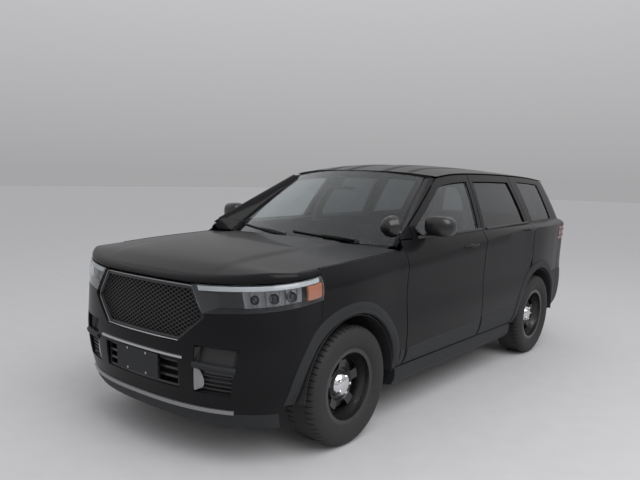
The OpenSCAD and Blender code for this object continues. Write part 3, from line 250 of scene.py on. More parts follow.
def panel(point, rows, cols, fine=(3, 3), keep=lambda i, j: True):
    """Sheet whose point(i, j, inner) takes fractional indices of a coarse grid; keep sees that grid."""
    fi = [k / fine[0] for k in range((rows - 1) * fine[0] + 1)]
    fj = [k / fine[1] for k in range((cols - 1) * fine[1] + 1)]
    outer, inner = ([[point(i, j, side) for j in fj] for i in fi] for side in (False, True))
    return sheet(outer, inner, lambda i, j: keep(i // fine[0], j // fine[1]))


def across(row):
    """Row of points from the left side to the middle, carried on to the right side."""
    return row + [p * FLIP for p in row[-2::-1]]


def hoops(rows, cols, wrap=False):
    """Faces between closed rings of points; wrap joins the last ring to the first."""
    faces = []
    for i in range(rows if wrap else rows - 1):
        a, b = i * cols, (i + 1) % rows * cols
        for j in range(cols):
            k = (j + 1) % cols
            faces.append((a + j, a + k, b + k, b + j))
    return faces


def joined(*shapes):
    points, faces = [], []
    for p, f in shapes:
        n = len(points)
        points += list(p)
        faces += [tuple(k + n for k in face) for face in f]
    return points, faces


def mirrored(shape):
    points, faces = shape
    return [p * FLIP for p in points], faces


def both(shape):
    return joined(shape, mirrored(shape))


def on_side(shape, sign):
    return shape if sign > 0 else mirrored(shape)


def moved(shape, offset):
    return [np.asarray(p, float) + np.asarray(offset, float) for p in shape[0]], shape[1]


def turned(shape, matrix):
    return [np.array(matrix @ Vector(p)) for p in shape[0]], shape[1]


def block(low, high):
    x, y, z = zip(low, high)
    points = [vec(x[i], y[j], z[k]) for i in (0, 1) for j in (0, 1) for k in (0, 1)]
    return points, [(0, 1, 3, 2), (4, 6, 7, 5), (0, 4, 5, 1), (2, 3, 7, 6), (0, 2, 6, 4), (1, 5, 7, 3)]


def tube(path, radius, sides=16, flat=1.0):
    """Closed tube along points, radius a number or one for each point; flat squeezes it upright."""
    path = [np.asarray(p, float) for p in path]
    radii = radius if hasattr(radius, "__len__") else [radius] * len(path)
    points = []
    for k, p in enumerate(path):
        run = path[min(k + 1, len(path) - 1)] - path[max(k - 1, 0)]
        run /= np.linalg.norm(run)
        side = np.cross(run, vec(0, 0, 1) if abs(run[2]) < 0.9 else vec(0, 1, 0))
        side /= np.linalg.norm(side)
        up = np.cross(side, run)
        for m in range(sides):
            a = 360 * m / sides
            points.append(p + radii[k] * (cosd(a) * side + flat * sind(a) * up))
    last = (len(path) - 1) * sides
    ends = [tuple(range(sides)), tuple(range(last + sides - 1, last - 1, -1))]
    return points, hoops(len(path), sides) + ends


def revolve(profile, sides=64, lift=None):
    """Closed ring or cap about the x axis; profile is (radius, x); lift(radius, angle) adds to x."""
    points, faces = [], []
    n = len(profile)
    for m in range(sides):
        a = 360 * m / sides
        for r, x in profile:
            dx = lift(r, a) if lift else 0
            points.append(vec(x + dx, r * cosd(a), r * sind(a)))
    for m in range(sides):
        o = (m + 1) % sides
        for k in range(n):
            q = (k + 1) % n
            faces.append((m * n + k, o * n + k, o * n + q, m * n + q))
    return points, faces


def rounded(rows, cols, last_deg, powers, place):
    """Rounded box: place(p, angle) sets each point of one with half size 1, squared by four powers."""
    ring_pow, x_pow, y_pow, z_pow = powers
    points = []
    for i in range(rows):
        v = mix(-last_deg, last_deg, i / (rows - 1))
        ring = abs(cosd(v)) ** ring_pow
        for j in range(cols):
            u = 360 * j / cols
            p = vec(ring * signed_power(cosd(u), x_pow), ring * signed_power(sind(u), y_pow),
                    signed_power(sind(v), z_pow))
            points.append(place(p, u))
    ends = [tuple(range(cols)), tuple(range((rows - 1) * cols, rows * cols))]
    return points, hoops(rows, cols) + ends


def make(name, shape, material, body="body", replaces=(), sharp=35, bevel=0.0):
    """A piece of the object, from a shape in millimetres."""
    points, faces = shape
    mesh = bpy.data.meshes.new(name)
    mesh.from_pydata([tuple(float(c) * MM for c in p) for p in points], [], faces)
    bm = bmesh.new()
    bm.from_mesh(mesh)
    bmesh.ops.remove_doubles(bm, verts=bm.verts, dist=MERGE)
    bmesh.ops.dissolve_degenerate(bm, edges=bm.edges, dist=MERGE / 10)
    bmesh.ops.delete(bm, geom=[v for v in bm.verts if not v.link_faces], context="VERTS")
    bmesh.ops.recalc_face_normals(bm, faces=bm.faces)
    bm.to_mesh(mesh)
    bm.free()
    mesh.polygons.foreach_set("use_smooth", [True] * len(mesh.polygons))
    mesh.set_sharp_from_angle(angle=math.radians(sharp))
    obj = bpy.data.objects.new(name, mesh)
    bpy.context.scene.collection.objects.link(obj)
    mesh.materials.append(material)
    if bevel:
        mod = obj.modifiers.new("edges", "BEVEL")
        mod.width = bevel * MM
        mod.segments = 2
        mod.limit_method = "ANGLE"
        mod.angle_limit = math.radians(BEVEL_DEG)
        mod.harden_normals = True
    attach(obj, body)
    if replaces:
        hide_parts(*replaces)
    return obj


# Materials
COAT_ROUGH, RELIEF_DEEP, GRAIN_DETAIL = 0.02, 0.001, 3.0
THREAD_SCALE, THREAD_WANDER, THREAD_RELIEF = 160, 0.6, 0.25


def surface(name, color, rough, metal=0.0, coat=0.0, scale=300.0, vary=0.12, rough_vary=0.06, bump=0.05):
    """Shader with fine variation of its colour, gloss and relief; scale counts grains in a metre."""
    mat = bpy.data.materials.new(name)
    mat.use_nodes = True
    nodes, links = mat.node_tree.nodes, mat.node_tree.links
    bsdf = nodes["Principled BSDF"]
    bsdf.inputs["Metallic"].default_value = metal
    bsdf.inputs["Coat Weight"].default_value = coat
    bsdf.inputs["Coat Roughness"].default_value = COAT_ROUGH
    coords = nodes.new("ShaderNodeTexCoord")
    grain = nodes.new("ShaderNodeTexNoise")
    grain.inputs["Scale"].default_value = scale
    grain.inputs["Detail"].default_value = GRAIN_DETAIL
    links.new(coords.outputs["Object"], grain.inputs["Vector"])
    ramp = nodes.new("ShaderNodeValToRGB")
    for stop, share, place in zip(ramp.color_ramp.elements, (1 - vary, 1 + vary), (0.3, 0.7)):
        stop.color = (*[c * share for c in color], 1)
        stop.position = place
    links.new(grain.outputs["Fac"], ramp.inputs["Fac"])
    links.new(ramp.outputs["Color"], bsdf.inputs["Base Color"])
    gloss = nodes.new("ShaderNodeMapRange")
    gloss.inputs["To Min"].default_value = max(0.02, rough - rough_vary)
    gloss.inputs["To Max"].default_value = min(1.0, rough + rough_vary)
    links.new(grain.outputs["Fac"], gloss.inputs["Value"])
    links.new(gloss.outputs["Result"], bsdf.inputs["Roughness"])
    if bump:
        add_relief(mat, grain.outputs["Fac"], bump)
    return mat


def add_relief(mat, height, strength):
    nodes, links = mat.node_tree.nodes, mat.node_tree.links
    relief = nodes.new("ShaderNodeBump")
    relief.inputs["Strength"].default_value = strength
    relief.inputs["Distance"].default_value = RELIEF_DEEP
    links.new(height, relief.inputs["Height"])
    links.new(relief.outputs["Normal"], nodes["Principled BSDF"].inputs["Normal"])


def clear(name, color, ior=1.45):
    """Clear or tinted glass or plastic."""
    mat = surface(name, color, 0.02, scale=8, vary=0.03, rough_vary=0.01, bump=0)
    bsdf = mat.node_tree.nodes["Principled BSDF"]
    bsdf.inputs["Transmission Weight"].default_value = 1.0
    bsdf.inputs["IOR"].default_value = ior
    return mat


def woven(name, color):
    """Fabric with crossing threads."""
    mat = surface(name, color, 0.85, scale=60, vary=0.2, bump=0)
    nodes, links = mat.node_tree.nodes, mat.node_tree.links
    nodes["Principled BSDF"].inputs["Sheen Weight"].default_value = 0.3
    coords = nodes.new("ShaderNodeTexCoord")
    both_ways = nodes.new("ShaderNodeMath")
    both_ways.operation = "MAXIMUM"
    for k, axis in enumerate("XZ"):
        thread = nodes.new("ShaderNodeTexWave")
        thread.bands_direction = axis
        thread.inputs["Scale"].default_value = THREAD_SCALE
        thread.inputs["Distortion"].default_value = THREAD_WANDER
        links.new(coords.outputs["Object"], thread.inputs["Vector"])
        links.new(thread.outputs["Fac"], both_ways.inputs[k])
    add_relief(mat, both_ways.outputs["Value"], THREAD_RELIEF)
    return mat


PAINT = surface("gloss_black_paint", (0.007, 0.007, 0.008), 0.3, coat=0.17, scale=900, vary=0.25, bump=0.0)
TRIM = surface("grained_grey_plastic", (0.026, 0.027, 0.029), 0.55, scale=700, bump=0.12)
for look, level in ((PAINT, 0.08), (TRIM, 0.2)):
    look.node_tree.nodes["Principled BSDF"].inputs["Specular IOR Level"].default_value = level
GRILLE = surface("black_grille_plastic", (0.024, 0.024, 0.026), 0.34, scale=400, bump=0.03)
# Near-black material of the sheet behind the bumper's openings; its darkness is painted shade
SHADE = surface("painted_shade_black", (0.003, 0.003, 0.003), 0.9, scale=350, bump=0.05)
BRIGHT = surface("bright_metal", (0.55, 0.55, 0.57), 0.14, metal=1.0, scale=200, vary=0.05, bump=0.01)
SATIN = surface("satin_silver", (0.30, 0.30, 0.31), 0.3, metal=0.8, scale=300, vary=0.06, bump=0.02)
CHROME = surface("chrome", (0.72, 0.72, 0.74), 0.06, metal=1.0, scale=60, vary=0.03, rough_vary=0.03, bump=0)
GLASS = clear("window_glass", (0.62, 0.68, 0.68))
PRIVACY = clear("dark_window_glass", (0.16, 0.17, 0.18))
LENS = clear("lamp_cover", (0.93, 0.95, 0.96), ior=1.3)
RED = surface("red_lamp_plastic", (0.16, 0.004, 0.005), 0.12, coat=0.5, scale=120, bump=0.02)
AMBER = surface("amber_marker", (0.60, 0.20, 0.10), 0.15, coat=0.6, scale=150, bump=0.02)
LIGHT = surface("pale_light_guide", (0.62, 0.64, 0.66), 0.25, coat=0.5, scale=150, vary=0.06, bump=0.02)
WHEEL = surface("black_wheel_paint", (0.012, 0.012, 0.013), 0.34, coat=0.35, scale=500, bump=0.03)
RUBBER = surface("tyre_rubber", (0.018, 0.018, 0.019), 0.72, scale=260, vary=0.25, bump=0.12)
STEEL = surface("cast_metal", (0.10, 0.10, 0.10), 0.5, metal=0.7, scale=150, vary=0.3, bump=0.15)
PIPE = surface("brushed_steel", (0.42, 0.41, 0.39), 0.32, metal=1.0, scale=90, vary=0.2, bump=0.05)
TANK = surface("moulded_black_plastic", (0.016, 0.016, 0.017), 0.6, scale=350, bump=0.08)
SPOT = surface("gloss_black_plastic", (0.008, 0.008, 0.009), 0.3, coat=0.3, scale=200, bump=0.01)
CABIN = surface("grained_cabin_plastic", (0.022, 0.022, 0.024), 0.65, scale=300, bump=0.06)
SEAT = woven("seat_cloth", (0.035, 0.035, 0.038))
# Nodes that stay as they are, by the look that they get
KEPT_LOOKS = ((GRILLE, "lower_grille corner_vents cowl"),
              (TANK, "floor_pan engine_bay wheel_liners fuel_tank"),
              (TRIM, "sills plate_bracket"), (PAINT, "front_pillars"), (SPOT, "door_pillars spotlight"),
              (CABIN, "roof_rails dashboard steering_wheel"), (PIPE, "exhaust"),
              (STEEL, "engine front_subframe rear_subframe knuckle_left knuckle_right"),
              (WHEEL, "wheel_front_left wheel_front_right wheel_rear_left wheel_rear_right"))
for look, node_names in KEPT_LOOKS:
    for node_name in node_names.split():
        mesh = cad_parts[node_name].data
        mesh.materials.clear()
        mesh.materials.append(look)


# Doors: edges, hinge lines and grid
PILLAR_Y, PILLAR_RISE, PILLAR_SLOPE = AXLE_F + 668, 60, 0.5
LEAD_LEAN, LEAD_Z = 0.05, 567
SPLIT_LEAN, TRAIL_LEAN = 0.33, 0.08
BELT_ROW = 8
DOOR_SHARES = (0.12, 0.28, 0.44, 0.6, 0.76, 0.9)
DOOR_LAST = len(DOOR_SHARES) + 5
# Behind the hinge line: start and end of the step in the door's depth, and the window's edge
HINGE_STEP = (12, 16, 70)
EDGE_T, BEVEL_BACK, BEVEL_TOP, PANE_SET = 10, 24, 10, 14


def lead_f(z):
    return DOOR_A - LEAD_LEAN * (z - LEAD_Z)


def split(z):
    return SPLIT_Y + SPLIT_LEAN * max(0, z - belt(SPLIT_Y))


def trail_r(z):
    straight = DOOR_C + TRAIL_LEAN * (belt(DOOR_C) - z)
    if z - AXLE_Z >= ARCH_OUT_R:
        return straight
    r = ARCH_OUT_R + SHUT_GAP + 3
    return min(straight, AXLE_R - math.sqrt(max(0, r * r - (z - AXLE_Z) ** 2)))


def pillar_line(y):
    return belt(PILLAR_Y) + PILLAR_RISE + PILLAR_SLOPE * (y - PILLAR_Y)


def frame_top(y):
    return min(rail(y) - SHUT_GAP - 4, pillar_line(y))


HINGE_F = (HALF_W - curve(PLAN_INSET, DOOR_A + HINGE_SET) - HINGE_DEPTH, lead_f(CREASE_Z) + HINGE_SET)
HINGE_R = (HALF_W - curve(PLAN_INSET, SPLIT_Y + HINGE_SET) - HINGE_DEPTH, SPLIT_Y + SHUT_GAP / 2 + HINGE_SET)
HINGE_HEIGHTS = (CREASE_Z - 10, shoulder(HINGE_F[1]) - 12)
KNUCKLE_HALF, KNUCKLE_R = 15, PIN_R + 3


def door_rows(y, top):
    """Heights of a door's rows at a station, from its lower edge to the top of the window frame."""
    zs, zb = shoulder(y), belt(y)
    return (DOOR_LOW_Z, TUCK_Z, mix(TUCK_Z, CREASE_Z, 0.55), CREASE_Z, CREASE_Z + 90, UPPER_Z, zs,
            mix(zs, zb, 0.5), zb, zb + 10, max(zb + 16, top - FRAME_W * 1.1), top)


def door_cols(lead, hinge, trail):
    """Stations of a door's columns, from its leading to its trailing edge."""
    step0, step1, window = HINGE_STEP
    a, b = hinge + window, trail - FRAME_W - 4
    return (lead, hinge + step0, hinge + step1, a, *[mix(a, b, f) for f in DOOR_SHARES], b, trail)


def lead_of(front, z):
    return lead_f(z) if front else split(z) + SHUT_GAP / 2


def trail_of(front, z):
    return split(z) - SHUT_GAP / 2 if front else trail_r(z)


def door_point(front, i, j, inner):
    """Point of a door's grid; its inner face is bevelled at the rear and top edges."""
    hinge = (HINGE_F if front else HINGE_R)[1]
    rough = at(door_cols(lead_of(front, BELT_Z), hinge, trail_of(front, BELT_Z)), j)
    z0 = at(door_rows(rough, frame_top(rough)), i)
    lead = lead_of(front, z0)
    step = hinge if front else mix(hinge, lead + FRAME_W - HINGE_STEP[0], clamp(i - BELT_ROW))
    y = at(door_cols(lead, step, trail_of(front, z0)), j)
    z = at(door_rows(y, frame_top(y)), i)
    if not inner:
        return wall(y, z)
    body_t = mix(EDGE_T, DOOR_T, clamp(j - 1))
    depth = mix(body_t, FRAME_T, clamp(i - BELT_ROW))
    return wall(y - BEVEL_BACK * clamp(j - DOOR_LAST + 1), z - BEVEL_TOP * clamp(i - BELT_ROW - 2), depth)


def door_shape(front):
    first, glass = (2, 3) if front else (0, 2)

    def keep(i, j):
        return i < BELT_ROW or (j >= first and (i != BELT_ROW + 1 or j < glass or j >= DOOR_LAST - 1))

    knuckles = []
    for z in HINGE_HEIGHTS:
        middle = vec(*(HINGE_F if front else HINGE_R), z)
        half = vec(0, 0, KNUCKLE_HALF)
        knuckles.append(tube([middle - half, middle + half], KNUCKLE_R))
        knuckles.append(block(middle + vec(-4, KNUCKLE_R, 0) - half, middle + vec(4, BEVEL_BACK, 0) + half))
    skin = panel(lambda i, j, inner: door_point(front, i, j, inner), BELT_ROW + 4, DOOR_LAST + 1, (4, 3),
                 keep)
    return joined(skin, *knuckles)


def door_glass_shape(front):
    first = 3 if front else 2
    last = DOOR_LAST - 1

    def point(i, j, inner):
        a = door_point(front, BELT_ROW + 1, first + j, False)
        b = door_point(front, BELT_ROW + 2, first + j, False)
        side = SEAT_GAP if j == 0 else -SEAT_GAP if j == last - first else 0
        up = SEAT_GAP if i == 0 else -SEAT_GAP if i == 2 else 0
        p = mix(a, b, i / 2)
        bow = side_x(p[1], p[2]) - p[0]
        return p + vec(bow - PANE_SET - (GLASS_T if inner else 0), side, up)

    return panel(point, 3, last - first + 1, (5, 3))


for place, is_front in FRONT_REAR:
    shell, pane = door_shape(is_front), door_glass_shape(is_front)
    for side, sign in LEFT_RIGHT:
        body = f"door_{place}_{side}"
        make(f"{body}_shell", on_side(shell, sign), PAINT, body, [body], bevel=2.2)
        make(f"window_{place}_{side}", on_side(pane, sign), GLASS if is_front else PRIVACY, body,
             [f"glass_{place}_{side}"])

# Fenders
HOOD_EDGE = ((CAP_F - 140, 1130), (AXLE_F, 1158), (AXLE_F + 650, 1186))
FENDER_Y, FENDER_T, FENDER_RISE = CAP_F + 50, 10, 44
FENDER_SHARES = (0, 0.14, 0.36, 0.58, 0.78, 0.91, 1)
FENDER_BACK = (0, 0.3, 0.65, 1)
FENDER_DEG = acosd((AXLE_F - FENDER_Y) / ARCH_OUT_R)
ARCH_STEPS = 10
FENDER_ARCH = [mix(FENDER_DEG, 178, k / ARCH_STEPS) for k in range(ARCH_STEPS + 1)]


def arch_deg(z):
    return asind((z - AXLE_Z) / ARCH_OUT_R)


def past_arch(y):
    return clamp((y - AXLE_F - ARCH_OUT_R) / (DOOR_A - AXLE_F - ARCH_OUT_R))


def fender_point(i, j, inner):
    """Point of the left fender: columns round the arch, then back to the door."""
    a = at(FENDER_ARCH, min(j, ARCH_STEPS))
    y, z0 = AXLE_F - ARCH_OUT_R * cosd(a), AXLE_Z + ARCH_OUT_R * sind(a)
    if j > ARCH_STEPS:
        back = at(FENDER_BACK, j - ARCH_STEPS)
        y = mix(mix(y, AXLE_F + ARCH_OUT_R, clamp(back / FENDER_BACK[1])), DOOR_A, back)
        z0 = DOOR_LOW_Z
    low = max(z0, DOOR_LOW_Z) + (SEAT_GAP if i == 0 else 0)
    z = mix(low, curve(HOOD_EDGE, y) + FENDER_RISE * past_arch(y), at(FENDER_SHARES, i))
    if y > AXLE_F + ARCH_OUT_R + 1:
        y = mix(y, lead_f(z) - SHUT_GAP - 1, past_arch(y))
    return wall(y, z, FENDER_T if inner else 0)


make("fender_skins", both(panel(fender_point, len(FENDER_SHARES), ARCH_STEPS + len(FENDER_BACK), (4, 3))),
     PAINT, replaces=["fenders"], bevel=2.2)

# Windshield: corners at foot and top, and how far it bows forward and up at the middle of each
SHIELD_FOOT = (HALF_W - 205, AXLE_F + 655, 1192)
SHIELD_TOP = (HALF_W - 387, AXLE_F + 1353, HEIGHT - 108)
FOOT_BOW, TOP_BOW = (190, 10), (100, 40)
SHIELD_OUT, SHIELD_CROWN = vec(0, -0.55, 0.83), 14


def shield(s, t, d=0.0):
    """Point of the windshield, s from -1 to 1 across it, t from foot to top, d inside its face."""
    b = 1 - s * s
    foot = vec(SHIELD_FOOT[0] * s, SHIELD_FOOT[1] - FOOT_BOW[0] * b, SHIELD_FOOT[2] + FOOT_BOW[1] * b)
    top = vec(SHIELD_TOP[0] * s, SHIELD_TOP[1] - TOP_BOW[0] * b, SHIELD_TOP[2] + TOP_BOW[1] * b)
    return mix(foot, top, t) + SHIELD_OUT * (SHIELD_CROWN * sind(180 * t) - d)


def shield_point(i, j, inner):
    return shield(mix(-1, 1, j / 24), i / 16, GLASS_T if inner else 0)


make("windshield_pane", panel(shield_point, 17, 25, (1, 1)), GLASS, replaces=["windshield"])

# Hood: middle line, and shares across and along it
HOOD_LINE = ((NOSE_Y + 62, 1068), (NOSE_Y + 125, 1100), (NOSE_Y + 275, 1146), (NOSE_Y + 525, 1178),
             (AXLE_F, 1200), (AXLE_F + 500, 1222))
HOOD_SHARES = (0.3, 0.5, 0.58, 0.68, 0.8, 0.9, 0.97, 1)
HOOD_HALF = (*[-s for s in reversed(HOOD_SHARES)], 0, *HOOD_SHARES)
HOOD_ROWS = (0, 0.04, 0.12, 0.24, 0.4, 0.6, 0.8, 0.94, 1)
HOOD_T, HOOD_REACH = 16, HALF_W - 80
HOOD_FRONT_Z, HOOD_FRONT_GAP, HOOD_BACK_GAP = 1090, 12, 105
HOOD_FALL, HOOD_POW = 20, 2.2
BULGE, BULGE_HALF, BULGE_EDGE = 10, 0.6, 0.08
HOOD_HINGE = (840, SHIELD_FOOT[1] - 97, 1163)


def hood_point(i, j, inner):
    s, t = at(HOOD_HALF, j), at(HOOD_ROWS, i)
    turn = cap_turn(abs(s) * HOOD_REACH, HOOD_FRONT_Z, CAP_F)
    front = wall(CAP_F - turn * CAP_DEG, HOOD_FRONT_Z)[1] + HOOD_FRONT_GAP
    y = mix(front, SHIELD_FOOT[1] - HOOD_BACK_GAP - FOOT_BOW[0] * (1 - s * s), t)
    edge = side_x(max(y, HOOD_EDGE[0][0]), curve(HOOD_EDGE, y)) - FENDER_T - SHUT_GAP
    crown = curve(HOOD_LINE, y) - curve(HOOD_EDGE, y)
    bulge = BULGE * smooth((BULGE_HALF - abs(s)) / BULGE_EDGE) * sind(180 * min(0.5, t))
    z = curve(HOOD_LINE, y) - max(HOOD_FALL, crown) * abs(s) ** HOOD_POW + bulge
    return vec(min(edge, HOOD_REACH) * s, y, z - (HOOD_T if inner else 0))


def hood_hinge():
    x, y, z = HOOD_HINGE
    half = KNUCKLE_HALF
    arm = block((x - half, y - 70, z - 4), (x + half, y - 8, z + 14))
    return joined(tube([(x - half, y, z), (x + half, y, z)], KNUCKLE_R), arm)


hood_skin = panel(hood_point, len(HOOD_ROWS), len(HOOD_HALF), (4, 3))
make("hood_skin", joined(hood_skin, both(hood_hinge())), PAINT, "hood", ["hood"], bevel=2.5)
HOOD_RIM = [hood_point(0, j, False) for j in np.linspace(8, 16, 160)]
HOOD_RIM += [p for p in (hood_point(i, 16, False) for i in np.linspace(0, 4, 160)) if p[1] < FENDER_Y]


def hood_rim(x, y):
    """Point of the hood's front and side edge that lies in the direction of a point of the nose."""
    aim = math.atan2(x, FENDER_Y - y)
    return min(HOOD_RIM, key=lambda p: abs(math.atan2(p[0], FENDER_Y - p[1]) - aim))


def hood_nose_point(i, j, inner):
    """Turned-down lip from the hood's edge to just above the grille and the headlamps."""
    low = at(NOSE_LINE, j) + vec(-2, 3, 8)
    top = hood_rim(low[0], low[1])
    over = low[:2] - top[:2]
    fall = mix(0.45, 0.15, clamp(low[0] / HOOD_RIM[-1][0])) * np.linalg.norm(over)
    bend = vec(low[0], low[1], max(top[2] - fall, low[2] + 6))
    f = i / 6
    p = (1 - f) ** 2 * top + 2 * f * (1 - f) * bend + f * f * low
    if not inner:
        return p
    out = over / max(1, np.linalg.norm(over))
    return p + mix(vec(0, 0, 2 - HOOD_T), vec(-10 * out[0], -10 * out[1], 1), f)


# Roof panel with lengthwise grooves, given as shares of the half width
CROWN_LINE = ((AXLE_F + 1250, 41), (AXLE_F + 1550, 60), (AXLE_F + 1950, ROOF_CROWN), (AXLE_F + 2550, 54),
              (AXLE_R + 130, 38), (AXLE_R + 730, 20))
CROWN_POW = 2.6
ROOF_END, ROOF_END_BOW, ROOF_T, ROOF_EDGE_T, GUTTER = TAIL_Y - 415, 40, 30, 4, 16
ROOF_HALF_W = side_x(SHIELD_TOP[1], rail(SHIELD_TOP[1]))
GROOVES = ((0, 0.13), (0.37, 0.43), (0.67, 0.73))
GROOVE_DEEP, GROOVE_EDGE = 9, 0.03
GROOVE_START, GROOVE_STOP, GROOVE_FADE, GUTTER_START = 0.03, 0.97, 0.02, 0.9925
ROOF_COLS = [k / 66 for k in range(-66, 67)]
ROOF_ROWS = [*np.linspace(0, GROOVE_START, 4), *np.linspace(0.06, GROOVE_STOP, 26), 0.98, GUTTER_START,
             0.994, 1]


def roof_z(x, y):
    s = min(1, abs(x) / side_x(y, rail(y)))
    return rail(y) + curve(CROWN_LINE, y) * (1 - s ** CROWN_POW)


def groove(a):
    """Share of the grooves' depth at a share of the half width."""
    return max(smooth((a - lo) / GROOVE_EDGE + 1) * (1 - smooth((a - hi) / GROOVE_EDGE))
               for lo, hi in GROOVES)


def roof_point(s, t, inner=False):
    a = abs(s)
    y1 = shield(s * ROOF_HALF_W / SHIELD_TOP[0], 1)[1] + SHUT_GAP
    y = mix(y1, ROOF_END - ROOF_END_BOW * s * s, t)
    drop = GUTTER if t > GUTTER_START and a < 0.9 else 0
    fade = smooth(t / GROOVE_START) * (1 - smooth((t - GROOVE_STOP) / GROOVE_FADE))
    z = rail(y) + curve(CROWN_LINE, y) * (1 - a ** CROWN_POW) - GROOVE_DEEP * groove(a) * fade - drop
    depth = 0 if not inner else ROOF_EDGE_T if a > 0.95 else ROOF_T - drop
    return vec(side_x(y, rail(y)) * s, y, z - depth)


roof_skin = sheet(*[[[roof_point(s, t, inner) for s in ROOF_COLS] for t in ROOF_ROWS]
                    for inner in (False, True)])
GATE_FRONT, GATE_TIP = ROOF_END + 22, TAIL_Y - 190
GATE_HINGE = vec(380, GATE_FRONT - 17, roof_z(380, GATE_FRONT) - 11)
GATE_KNUCKLE_W = 40


def gate_bracket():
    parts = [tube([GATE_HINGE - vec(28, 0, 0), GATE_HINGE + vec(28, 0, 0)], 4)]
    for x in (-1, 1):
        low = GATE_HINGE + vec(x * (GATE_KNUCKLE_W / 2 + 6) - 4, -80, -30)
        parts.append(block(low, low + vec(8, 86, 12)))
        parts.append(block(low + vec(0, 74, 12), low + vec(8, 86, 34)))
    return joined(*parts)


make("roof_skin", joined(roof_skin, both(gate_bracket())), PAINT, replaces=["roof_panel"],
     bevel=2)

# Quarter panels and their windows; the tail lamp's place is (front end, lower edge, upper edge)
BUMPER_R_TOP, GATE_TURN, GATE_GAP = 780, 45, 2 * SHUT_GAP
LAMP_R = (CAP_R - 55, 1085, 1218)
QUARTER_T, QUARTER_PANE_SET = 24, 10
QUARTER_END = CAP_R + GATE_TURN * CAP_DEG - GATE_GAP
QUARTER_ARCH = [mix(64, 180 - arch_deg(BUMPER_R_TOP), k / 5) for k in range(6)]
QUARTER_STATIONS = [*[AXLE_R - ARCH_OUT_R * cosd(a) for a in QUARTER_ARCH], AXLE_R + 440, LAMP_R[0],
                    *[CAP_R + GATE_TURN * CAP_DEG * f for f in (0.25, 0.5, 0.75)], QUARTER_END]


def quarter_rows(s):
    y = s if s < CAP_R else wall(s, rail(CAP_R))[1]
    low = BUMPER_R_TOP + SEAT_GAP
    if y < QUARTER_STATIONS[5] + 1:
        low = AXLE_Z + math.sqrt(max(0, ARCH_OUT_R ** 2 - (y - AXLE_R) ** 2)) + SEAT_GAP
    zb = max(belt(y), low + 100)
    return (low, mix(low, LAMP_R[1], 0.4), mix(low, LAMP_R[1], 0.75), LAMP_R[1], LAMP_R[2], zb, zb + 14,
            rail(y) - FRAME_W * 1.2, rail(y) - 12)


def quarter_point(i, j, inner):
    s = at(QUARTER_STATIONS, j)
    z = at(quarter_rows(s), i)
    s = mix(trail_r(z) + SHUT_GAP, s, clamp(j)) if j < 1 else s
    d = QUARTER_T if inner else 0
    return wall(s, z - d * 0.4 * clamp(i - 7), d)


def quarter_keep(i, j):
    window, lamp = i == 6 and 0 < j < 6, i == 3 and j > 6
    return not window and not lamp


quarter_skin = panel(quarter_point, 9, len(QUARTER_STATIONS), (3, 4), quarter_keep)
make("quarter_skins", both(quarter_skin), PAINT, replaces=["quarter_panels"], bevel=2.2)


def quarter_glass_point(i, j, inner):
    s = at(QUARTER_STATIONS[1:7], j)
    rows = quarter_rows(s)
    side = SEAT_GAP if j == 0 else -SEAT_GAP if j == 5 else 0
    z = mix(rows[6] + SEAT_GAP, rows[7] - SEAT_GAP, i / 2)
    return wall(s + side, z, QUARTER_PANE_SET + (GLASS_T if inner else 0))


make("quarter_windows", both(panel(quarter_glass_point, 3, 6, (4, 4))), PRIVACY,
     replaces=["quarter_glass"])

# Front bumper cover, with the openings' edge as rows of (height, half width)
GRILLE_CORNERS = ((335, 712), (520, 870), (405, 1046))
GRILLE_TOP = GRILLE_CORNERS[2][1]
GRILLE_EDGE = ((440, 350), (600, 350), *[(z, x) for x, z in GRILLE_CORNERS])
BUMPER_ROWS = (235, 300, AXLE_Z, 440, 600, 712, AXLE_Z + ARCH_OUT_R * sind(FENDER_DEG), 870)
BUMPER_SHARES = (0, 0.22, 0.4, 0.56, 0.72, 0.88, 1)
BUMPER_TOP, BUMPER_T = (893, 965), 14
GRILLE_COL = len(BUMPER_SHARES) - 1
CENTRE = GRILLE_COL + 2


def grille_turn(z):
    return cap_turn(lookup(GRILLE_EDGE, z), z, CAP_F)


def bumper_end(z):
    y = AXLE_F - math.sqrt(max(0, ARCH_OUT_R ** 2 - (z - AXLE_Z) ** 2))
    return nose_place(min(FENDER_Y, y) - SEAT_GAP, z)


def bumper_at(k, z, d=0.0):
    """Point at column k of the left half, from the arch (0) to the grille's edge and the centre line."""
    if k <= GRILLE_COL:
        return wall(mix(bumper_end(z), CAP_F - CAP_DEG * grille_turn(z), at(BUMPER_SHARES, k)), z, d)
    return wall(CAP_F - CAP_DEG * mix(grille_turn(z), 90, (k - GRILLE_COL) / 2), z, d)


def bumper_point(i, j, inner):
    k = min(j, 2 * CENTRE - j)
    top = mix(BUMPER_TOP[1], BUMPER_TOP[0], at(BUMPER_SHARES, min(k, GRILLE_COL)))
    p = bumper_at(k, at((*BUMPER_ROWS, top), i), BUMPER_T if inner else 0)
    return p if j <= CENTRE else p * FLIP


def bumper_keep(i, j):
    k = min(j, 2 * CENTRE - 1 - j)
    return not (k >= GRILLE_COL and i in (3, 5, 6, 7)) and not (i in (3, 4) and 3 <= k < 5)


make("front_bumper_skin", panel(bumper_point, len(BUMPER_ROWS) + 1, 2 * CENTRE + 1, (4, 4), bumper_keep),
     PAINT, replaces=["front_bumper"], bevel=3)

# Headlamps: clear cover and bowl
LAMP_ROWS = (0, 0.14, 0.86, 1)
LAMP_TOP, LAMP_POW, BOWL_DEEP, BOWL_T = (1105, GRILLE_TOP), 0.8, 62, 15


